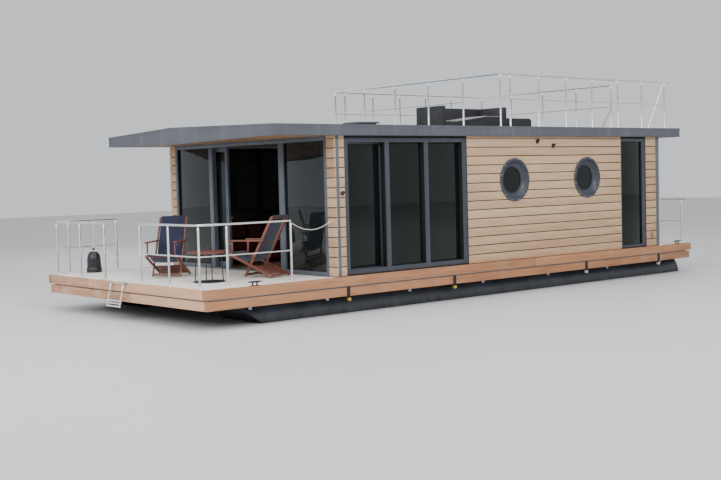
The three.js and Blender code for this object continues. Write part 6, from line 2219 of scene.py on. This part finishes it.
def motor_clamp():
    bm = bmesh.new()
    add_lathe(bm, [(0, 0.016), (0.003, 0.022), (0.213, 0.022), (0.216, 0.016)], (TILT_X, -0.108, TILT_Z),
              (0, 1, 0), 24)
    add_box(bm, (STEER_X - 0.01, -0.06, 0.76), (TILT_X - 0.0195, 0.06, 1.02), 0.012)
    add_lathe(bm, [(0, 0.04), (0.006, 0.048), (0.326, 0.048), (0.332, 0.042)], (STEER_X, 0, 0.69),
              (0, 0, 1), 32)
    for sign in (1, -1):
        side_box(bm, sign, (TILT_X - 0.03, TILT_X + 0.012), (0.061, 0.1), (0.96, 1.02), 0.008)
    clamp = make("motor_clamp_casting", bm, COWL, 40, "motor_paint", "motor_clamp", body="motor_tilt")
    return triangles(clamp)


print("bracket", motor_bracket(), "clamp", motor_clamp(), "triangles")

# %% Motor body and propeller
def motor_body():
    bm = bmesh.new()
    cowl = [(0.07, 1.105), (0.105, 1.15), (0.108, 1.29), (0.06, 1.45), (-0.2, 1.48), (-0.38, 1.42),
            (-0.4, 1.18), (-0.35, 1.105)]
    add_plate(bm, cowl, 0.165, 0.045, 5)
    tray = [(0.06, 1.06), (0.092, 1.09), (0.092, 1.102), (-0.375, 1.102), (-0.375, 1.085), (-0.335, 1.06)]
    add_plate(bm, tray, 0.152, 0.008)
    add_box(bm, (STEER_X + 0.098, -0.07, 1.2), (STEER_X + 0.1075, 0.07, 1.215), 0.002)
    for k in range(6):
        x = STEER_X - 0.36 + k * 0.024
        for sign in (1, -1):
            side_box(bm, sign, (x, x + 0.01), (0.16, 0.1649), (1.3, 1.38), 0.001)
    shell = make("motor_cowl", bm, COWL, 40, "motor_paint", "motor_body", body="motor_steer")
    bm = bmesh.new()
    leg = [(-0.055, 1.062), (-0.22, 1.062), (-0.215, 0.8), (-0.2, 0.466), (-0.06, 0.466), (-0.05, 0.8)]
    add_plate(bm, leg, 0.038, 0.02, 4)
    add_plate(bm, [(-0.04, 0.465), (-0.31, 0.465), (-0.305, 0.452), (-0.04, 0.452)], 0.095, 0.004)
    add_plate(bm, [(-0.06, 0.455), (-0.17, 0.455), (-0.165, 0.3), (-0.04, 0.3)], 0.024, 0.012, 3)
    add_plate(bm, [(-0.04, 0.3), (-0.15, 0.3), (-0.15, 0.13), (-0.09, 0.13)], 0.009, 0.004)
    case = [(0, 0.02), (0.004, 0.044), (0.03, 0.048), (0.19, 0.048), (0.225, 0.042), (0.25, 0.03),
            (0.262, 0.018), (0.265, 0.0)]
    add_lathe(bm, case, (STEER_X - 0.17, 0, SHAFT_Z), (1, 0, 0), 32)
    add_lathe(bm, [(0, 0.04), (0.035, 0.04)], (STEER_X, 0, 1.027), (0, 0, 1), 28)
    leg = make("motor_leg", bm, COWL, 40, "motor_paint", "motor_body", body="motor_steer")
    return triangles(shell) + triangles(leg)


def propeller():
    low, high = STEER_X - 0.26, STEER_X - 0.175
    centre, hub = (low + high) / 2, 0.032
    bm = bmesh.new()
    add_lathe(bm, [(0, 0.014), (0.006, 0.024), (0.02, hub), (0.08, hub), (0.085, 0.028)], (low, 0, SHAFT_Z),
              (1, 0, 0), 28)
    for blade in range(3):
        turn = Matrix.Rotation(2 * math.pi * blade / 3, 3, "X")
        rows = []
        for k in range(9):
            t = k / 8
            radius = hub - 0.004 + t * (0.113 - hub)
            pitch = 0.95 - 0.5 * t
            chord = 0.09 * math.sin(math.pi * (0.22 + 0.66 * t)) ** 0.7
            row = []
            for side, reach in ((1, -1.0), (1, -0.3), (1, 0.4), (1, 1.0), (-1, 0.4), (-1, -0.3)):
                across = reach * chord / 2
                thick = side * 0.004 * (1 - abs(reach)) * (1 - 0.6 * t)
                fore = across * math.sin(pitch) + thick * math.cos(pitch)
                over = across * math.cos(pitch) - thick * math.sin(pitch)
                row.append(bm.verts.new(turn @ Vector((fore, over, radius)) + Vector((centre, 0, SHAFT_Z))))
            rows.append(row)
        join_rows(bm, rows)
        bm.faces.new(rows[0])
        bm.faces.new(rows[-1])
    screw = make("propeller_blades", bm, BLACK_METAL, 50, "black_metal", "propeller", body="propeller")
    return triangles(screw)


print("motor body", motor_body(), "propeller", propeller(), "triangles")
# %% [markdown]
# Through the glass the cabin shows a dark-red sofa along the far wall, a white bulkhead with a doorway, a
# galley against it and a berth behind. Carcasses are rounded boxes; seats, backs, mattress and pillows
# are stuffed.

# %% Sofa
SOFA_X, SOFA_Y = (1.8195, 3.3195), (-2.25, -1.51)
CABIN_FLOOR = DECK + CLEAR


def sofa():
    z, (x0, x1), (y0, y1) = CABIN_FLOOR, SOFA_X, SOFA_Y
    bm = bmesh.new()
    add_box(bm, (x0, y0, z + 0.05), (x1, y0 + 0.1, z + 0.68), 0.03)
    for low in (x0, x1 - 0.13):
        add_box(bm, (low, y0 + 0.09, z + 0.05), (low + 0.13, y1, z + 0.42), 0.035)
    add_box(bm, (x0 + 0.12, y0 + 0.09, z + 0.05), (x1 - 0.12, y1 - 0.015, z + 0.26), 0.02)
    body = make("sofa_body", bm, LEATHER, 50, "sofa_leather", "sofa")
    bm = bmesh.new()
    for x in (x0 + 0.08, x1 - 0.08):
        for y in (y0 + 0.08, y1 - 0.08):
            add_lathe(bm, [(0, 0.018), (0.052, 0.026)], (x, y, z), (0, 0, 1), 16)
    make("sofa_feet", bm, BLACK_METAL, 40, "black_metal", "sofa")
    half = (x1 - x0 - 0.26) / 2
    for k in range(2):
        low = x0 + 0.13 + k * half
        pads = (("seat", 0.12, 0.262, y1, 0.42, 0.7), ("back", 0.105, 0.425, y0 + 0.25, 0.73, 0.6))
        pads = [stuffed(f"sofa_{part}_{k + 1}", (low + 0.002, y0 + inset, z + foot),
                        (low + half - 0.002, fore, z + head),
                        LEATHER, fill=fill) for part, inset, foot, fore, head, fill in pads]
        for pad in pads:
            settle(pad, "boat", "sofa_leather", ("sofa",))
    return triangles(body)


print("sofa body", sofa(), "triangles")

# %% Bulkhead, galley and berth
WALL_X = (0.8195, 0.8795)


def bulkhead():
    x0, x1 = WALL_X
    z0, z1, door_top = WALL_Z[0], WALL_Z[1], DECK + 2.0
    bm = bmesh.new()
    for y0, y1, low, high in ((-2.31, 0.25, z0, z1), (1.05, 2.31, z0, z1), (0.2505, 1.0495, door_top, z1)):
        add_box(bm, (x0 + 0.004, y0, low), (x1 - 0.004, y1, high), 0.0)
    for x in (x0, x1 - 0.012):
        for y in (0.17, 1.051):
            add_box(bm, (x, y, z0), (x + 0.012, y + 0.079, door_top + 0.08), 0.003)
        add_box(bm, (x, 0.2495, door_top + 0.001), (x + 0.012, 1.0505, door_top + 0.08), 0.003)
    wall = make("cabin_bulkhead_panel", bm, WHITE_BOARD, 30, "white_panel", "cabin_bulkhead")
    return triangles(wall)


def galley():
    z, y0, y1, front = CABIN_FLOOR, -2.21, 0.05, WALL_X[0] + 0.66
    back = WALL_X[1] + 0.0005
    bm = bmesh.new()
    add_box(bm, (back, y0, z + 0.08), (front - 0.022, y1, z + 0.862), 0.002)
    add_box(bm, (back, y0, z), (front - 0.06, y1, z + 0.079), 0.0)
    count = 4
    wide = (y1 - y0) / count
    for k in range(count):
        low = y0 + k * wide
        add_box(bm, (front - 0.0215, low + 0.002, z + 0.085), (front - 0.003, low + wide - 0.002, z + 0.7),
                0.002)
        add_box(bm, (front - 0.0215, low + 0.002, z + 0.704),
                (front - 0.003, low + wide - 0.002, z + 0.858), 0.002)
    make("galley_cabinets", bm, WHITE_BOARD, 30, "white_panel", "cabin_bulkhead")
    bm = bmesh.new()
    add_box(bm, (back, y0, z + 0.8635), (front, y1, z + 0.9), 0.003)
    make("galley_worktop", bm, FLOOR_WOOD, 30, "floor_wood", "cabin_bulkhead")
    bm = bmesh.new()
    for k in range(count):
        y = y0 + (k + 0.5) * wide
        for height in (0.66, 0.82):
            add_rod(bm, (front - 0.0015, y - 0.06, z + height), (front - 0.0015, y + 0.06, z + height),
                    0.0015, 8)
    add_box(bm, (back + 0.1, -0.62, z + 0.9005), (front - 0.12, -0.18, z + 0.904), 0.001)
    make("galley_steel", bm, STAINLESS, 40, "stainless", "cabin_bulkhead")
    return count


def berth():
    z, x0, x1, y0, y1 = CABIN_FLOOR, WALL_X[0] - 2.0, WALL_X[0] - 0.0005, -2.21, 0.1
    bm = bmesh.new()
    add_box(bm, (x0, y0, z), (x1, y1, z + 0.28), 0.006)
    for k in range(3):
        low = x0 + 0.05 + k * 0.64
        add_box(bm, (low, y1 - 0.001, z + 0.05), (low + 0.62, y1 + 0.0, z + 0.24), 0.0)
    make("berth_base", bm, FLOOR_WOOD, 30, "floor_wood", "cabin_bulkhead")
    mattress = stuffed("berth_mattress", (x0 + 0.01, y0 + 0.01, z + 0.2805),
                       (x1 - 0.01, y1 - 0.01, z + 0.43), LINEN, cap=0.012,
                       voxel=0.024, fill=0.9, radius=0.04)
    pads = [mattress]
    for k, y in enumerate((-2.0, -1.25)):
        pads.append(stuffed(f"pillow_{k + 1}", (x1 - 0.45, y, z + 0.4305), (x1 - 0.05, y + 0.62, z + 0.475),
                            CUSHION, cap=0.016, fill=0.4))
    for pad in pads:
        settle(pad, "boat", "white_panel", ("cabin_bulkhead",))
    return sum(triangles(pad) for pad in pads)


print("bulkhead", bulkhead(), "galley cabinets", galley(), "berth pads", berth())

# %% [markdown]
# The helm is a desk in the starboard bay with a sloping dash, two gauges, a throttle and a wheel of three
# spokes on its own hub.

# %% Helm
def helm():
    x0, x1, y0, y1, z = 3.3895, 3.7195, -2.0, -1.3, CABIN_FLOOR
    bm = bmesh.new()
    add_box(bm, (x0 + 0.02, y0 + 0.02, z + 0.06), (x1, y1 - 0.02, z + 0.86), 0.004)
    add_box(bm, (x0 + 0.05, y0 + 0.04, z), (x1, y1 - 0.04, z + 0.0595), 0.0)
    dash = [(x0, 0.861), (x1, 0.861), (x1, 0.96), (x0 + 0.1, 0.96), (x0, 0.9)]
    add_slab(bm, [(x, z + rise) for x, rise in dash], y0, y1)
    make("helm_cabinet", bm, FLOOR_WOOD, 30, "floor_wood", "helm_desk")
    bm = bmesh.new()
    slope = Vector((-0.06, 0, 0.1)).normalized()
    for y in (-1.78, -1.65, -1.52):
        place = Vector((x0 + 0.05, y, z + 0.93))
        add_lathe(bm, [(-0.006, 0.045), (0.002, 0.045), (0.004, 0.04), (0.001, 0.038), (0.001, 0.0)], place,
                  slope, 32)
    add_rod(bm, (x1 - 0.12, y1 - 0.12, z + 0.925), (x1 - 0.12, y1 - 0.12, z + 0.9595), 0.03, 20)
    make("helm_gauges", bm, BLACK_METAL, 40, "black_metal", "helm_desk")
    bm = bmesh.new()
    x, y, z, ring = 3.3195, -1.65, 2.0, 0.17
    rings = []
    turn = [2 * math.pi * j / 14 for j in range(14)]
    for k in range(56):
        angle = 2 * math.pi * k / 56
        out = Vector((0, math.sin(angle), math.cos(angle)))
        rings.append([bm.verts.new(Vector((x, y, z)) + out * (ring + 0.0125 * math.cos(a))
                                   + Vector((0.0125 * math.sin(a), 0, 0))) for a in turn])
    join_rows(bm, rings, closed=True)
    rim = make("helm_wheel_rim", bm, GASKET, 60, "black_metal", "helm_wheel", body="helm_wheel")
    bm = bmesh.new()
    add_lathe(bm, [(0, 0.01), (0.002, 0.026), (0.008, 0.03), (0.076, 0.03)], (x - 0.015, y, z), (1, 0, 0),
              28)
    for k in range(3):
        angle = 2 * math.pi * k / 3
        tip = Vector((x, y + 0.162 * math.sin(angle), z + 0.162 * math.cos(angle)))
        add_rod(bm, (x, y, z), tip, 0.009, 12, 0.007)
    make("helm_wheel_spokes", bm, STAINLESS, 40, "stainless", "helm_wheel", body="helm_wheel")
    return triangles(rim)


print("wheel rim", helm(), "triangles")
# %% [markdown]
# Small fittings on the port wall: two hooded vents high up aft, a round lamp by the corner post and a
# shore-power socket with a flap near the aft corner.

# %% Wall fittings
VENTS = [(4.83, 2.14), (4.38, 2.06)]
LAMP, SOCKET = (9.54, 1.32), (1.31, 0.24)
VENT_PLASTIC = moulded("vent_plastic", colour(0.06, 0.016, 0.014))
SOCKET_PLASTIC = moulded("socket_plastic", colour(0.3, 0.21, 0.13))


def add_hood(bm, place, radius, reach):
    """Half a short pipe over a round fitting, open below."""
    rows = []
    for k in range(13):
        angle = math.pi * k / 12
        across, rise = math.cos(angle), math.sin(angle)
        depth = reach * (0.4 + 0.6 * rise)
        corners = ((radius, 0), (radius, depth), (radius - 0.003, depth), (radius - 0.003, 0))
        rows.append([bm.verts.new((place[0] + across * r, place[1] + depth, place[2] + rise * r)) for r,
                     depth in corners])
    join_rows(bm, rows)
    bm.faces.new(rows[0])
    bm.faces.new(rows[-1])


def make_fittings():
    dark, tan = bmesh.new(), bmesh.new()
    for length, rise in VENTS:
        place = (aft(length), WALL_Y, DECK + rise)
        base = [(0, 0), (0, 0.04), (0.004, 0.043), (0.01, 0.041), (0.012, 0.034), (0.008, 0.03), (0.008, 0)]
        add_lathe(dark, base, place, (0, 1, 0), 36)
        for k in range(4):
            z = place[2] - 0.022 + 0.0145 * k
            add_box(dark, (place[0] - 0.027, WALL_Y + 0.008, z),
                    (place[0] + 0.027, WALL_Y + 0.015, z + 0.004), 0.001)
        add_hood(dark, place, 0.042, 0.05)
    place = (aft(LAMP[0]), WALL_Y, DECK + LAMP[1])
    add_lathe(dark, [(0, 0), (0, 0.034), (0.006, 0.036), (0.02, 0.034), (0.03, 0.024), (0.034, 0)], place,
              (0, 1, 0), 36)
    add_hood(dark, place, 0.039, 0.045)
    x, z = aft(SOCKET[0]), DECK + SOCKET[1]
    add_box(tan, (x - 0.03, WALL_Y, z - 0.055), (x + 0.03, WALL_Y + 0.02, z + 0.055), 0.005)
    add_box(tan, (x - 0.026, WALL_Y + 0.0205, z - 0.05), (x + 0.026, WALL_Y + 0.034, z + 0.035), 0.006)
    add_rod(tan, (x - 0.026, WALL_Y + 0.025, z + 0.042), (x + 0.026, WALL_Y + 0.025, z + 0.042), 0.005, 14)
    make("wall_vents", dark, VENT_PLASTIC, 35, "dark_frame")
    make("shore_socket", tan, SOCKET_PLASTIC, 35, "dark_frame")


make_fittings()
print("wall fittings:", len(VENTS), "vents, a lamp and a socket")

# %% [markdown]
# Every solid that no finer piece replaces keeps its shape and takes the finish of its material slot.

# %% Materials for the nodes that stay
CAD_FINISH = {
    "float_plastic": FLOAT_PE, "galvanised": ZINC, "edge_timber": EDGE_X, "deck_composite": WHITE_BOARD,
    "floor_wood": FLOOR_WOOD, "cladding": CLAD_X, "dark_frame": FRAME_GREY, "pane": SIDE_GLASS,
    "roof_sheet": ROOF_GREY,
    "soffit_wood": SOFFIT_WOOD, "rattan": CUSHION, "stainless": STAINLESS, "teak": TEAK,
    "motor_paint": COWL,
    "black_metal": BLACK_METAL, "white_panel": WHITE_BOARD, "sofa_leather": LEATHER, "rope": ROPE,
    "fender_rubber": FENDER_RUBBER,
}
for node, piece in frame["nodes"].items():
    if hasattr(piece.data, "materials"):
        piece.data.materials.clear()
        piece.data.materials.append(CAD_FINISH[SLOT_OF[node]])
# %% [markdown]
# The stage is a plain pale floor at the waterline with soft light from large panels, brightest from the
# camera's side, as on an overcast day.

# %% Floor and light
def make_floor():
    bm = bmesh.new()
    bmesh.ops.create_grid(bm, x_segments=1, y_segments=1, size=60)
    bmesh.ops.translate(bm, verts=bm.verts, vec=(0, 0, WATER))
    floor = piece_from_bm("studio_floor", bm,
                          moulded("pale_floor", colour(0.62, 0.62, 0.62), (0.5, 0.6), 20.0, 0.00001, 0.97))
    floor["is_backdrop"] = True


def add_panel(name, place, target, size, power, tint=(1.0, 1.0, 1.0)):
    light = bpy.data.lights.new(name, "AREA")
    light.shape = "RECTANGLE"
    light.size, light.size_y = size
    light.energy = power
    light.color = tint
    lamp = bpy.data.objects.new(name, light)
    bpy.context.collection.objects.link(lamp)
    turn = (Vector(target) - Vector(place)).to_track_quat("-Z", "Y").to_matrix().to_4x4()
    lamp.matrix_world = Matrix.Translation(place) @ turn
    return lamp


def light_scene():
    world = bpy.data.worlds.new("studio")
    world.use_nodes = True
    world.node_tree.nodes["Background"].inputs[0].default_value = (0.86, 0.9, 0.95, 1)
    world.node_tree.nodes["Background"].inputs[1].default_value = 0.9
    bpy.context.scene.world = world
    add_panel("key_panel", (6, 17, 12), (0, 0, 2), (14, 8), 1900, (1.0, 0.98, 0.95))
    add_panel("sky_panel", (4, 3, 15), (2, 0, 2), (12, 9), 1500)
    add_panel("bow_panel", (18, 2, 9), (2, 0, 2), (9, 7), 1300)
    add_panel("far_panel", (-8, -14, 10), (0, 0, 2), (12, 8), 700, (0.96, 0.98, 1.0))


make_floor()
light_scene()
print("floor and lights ready")

# %% Close the scene
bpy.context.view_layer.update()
shown = [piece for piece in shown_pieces() if piece.type == "MESH"]
print(len(shown), "pieces,", sum(triangles(piece) for piece in shown), "triangles")
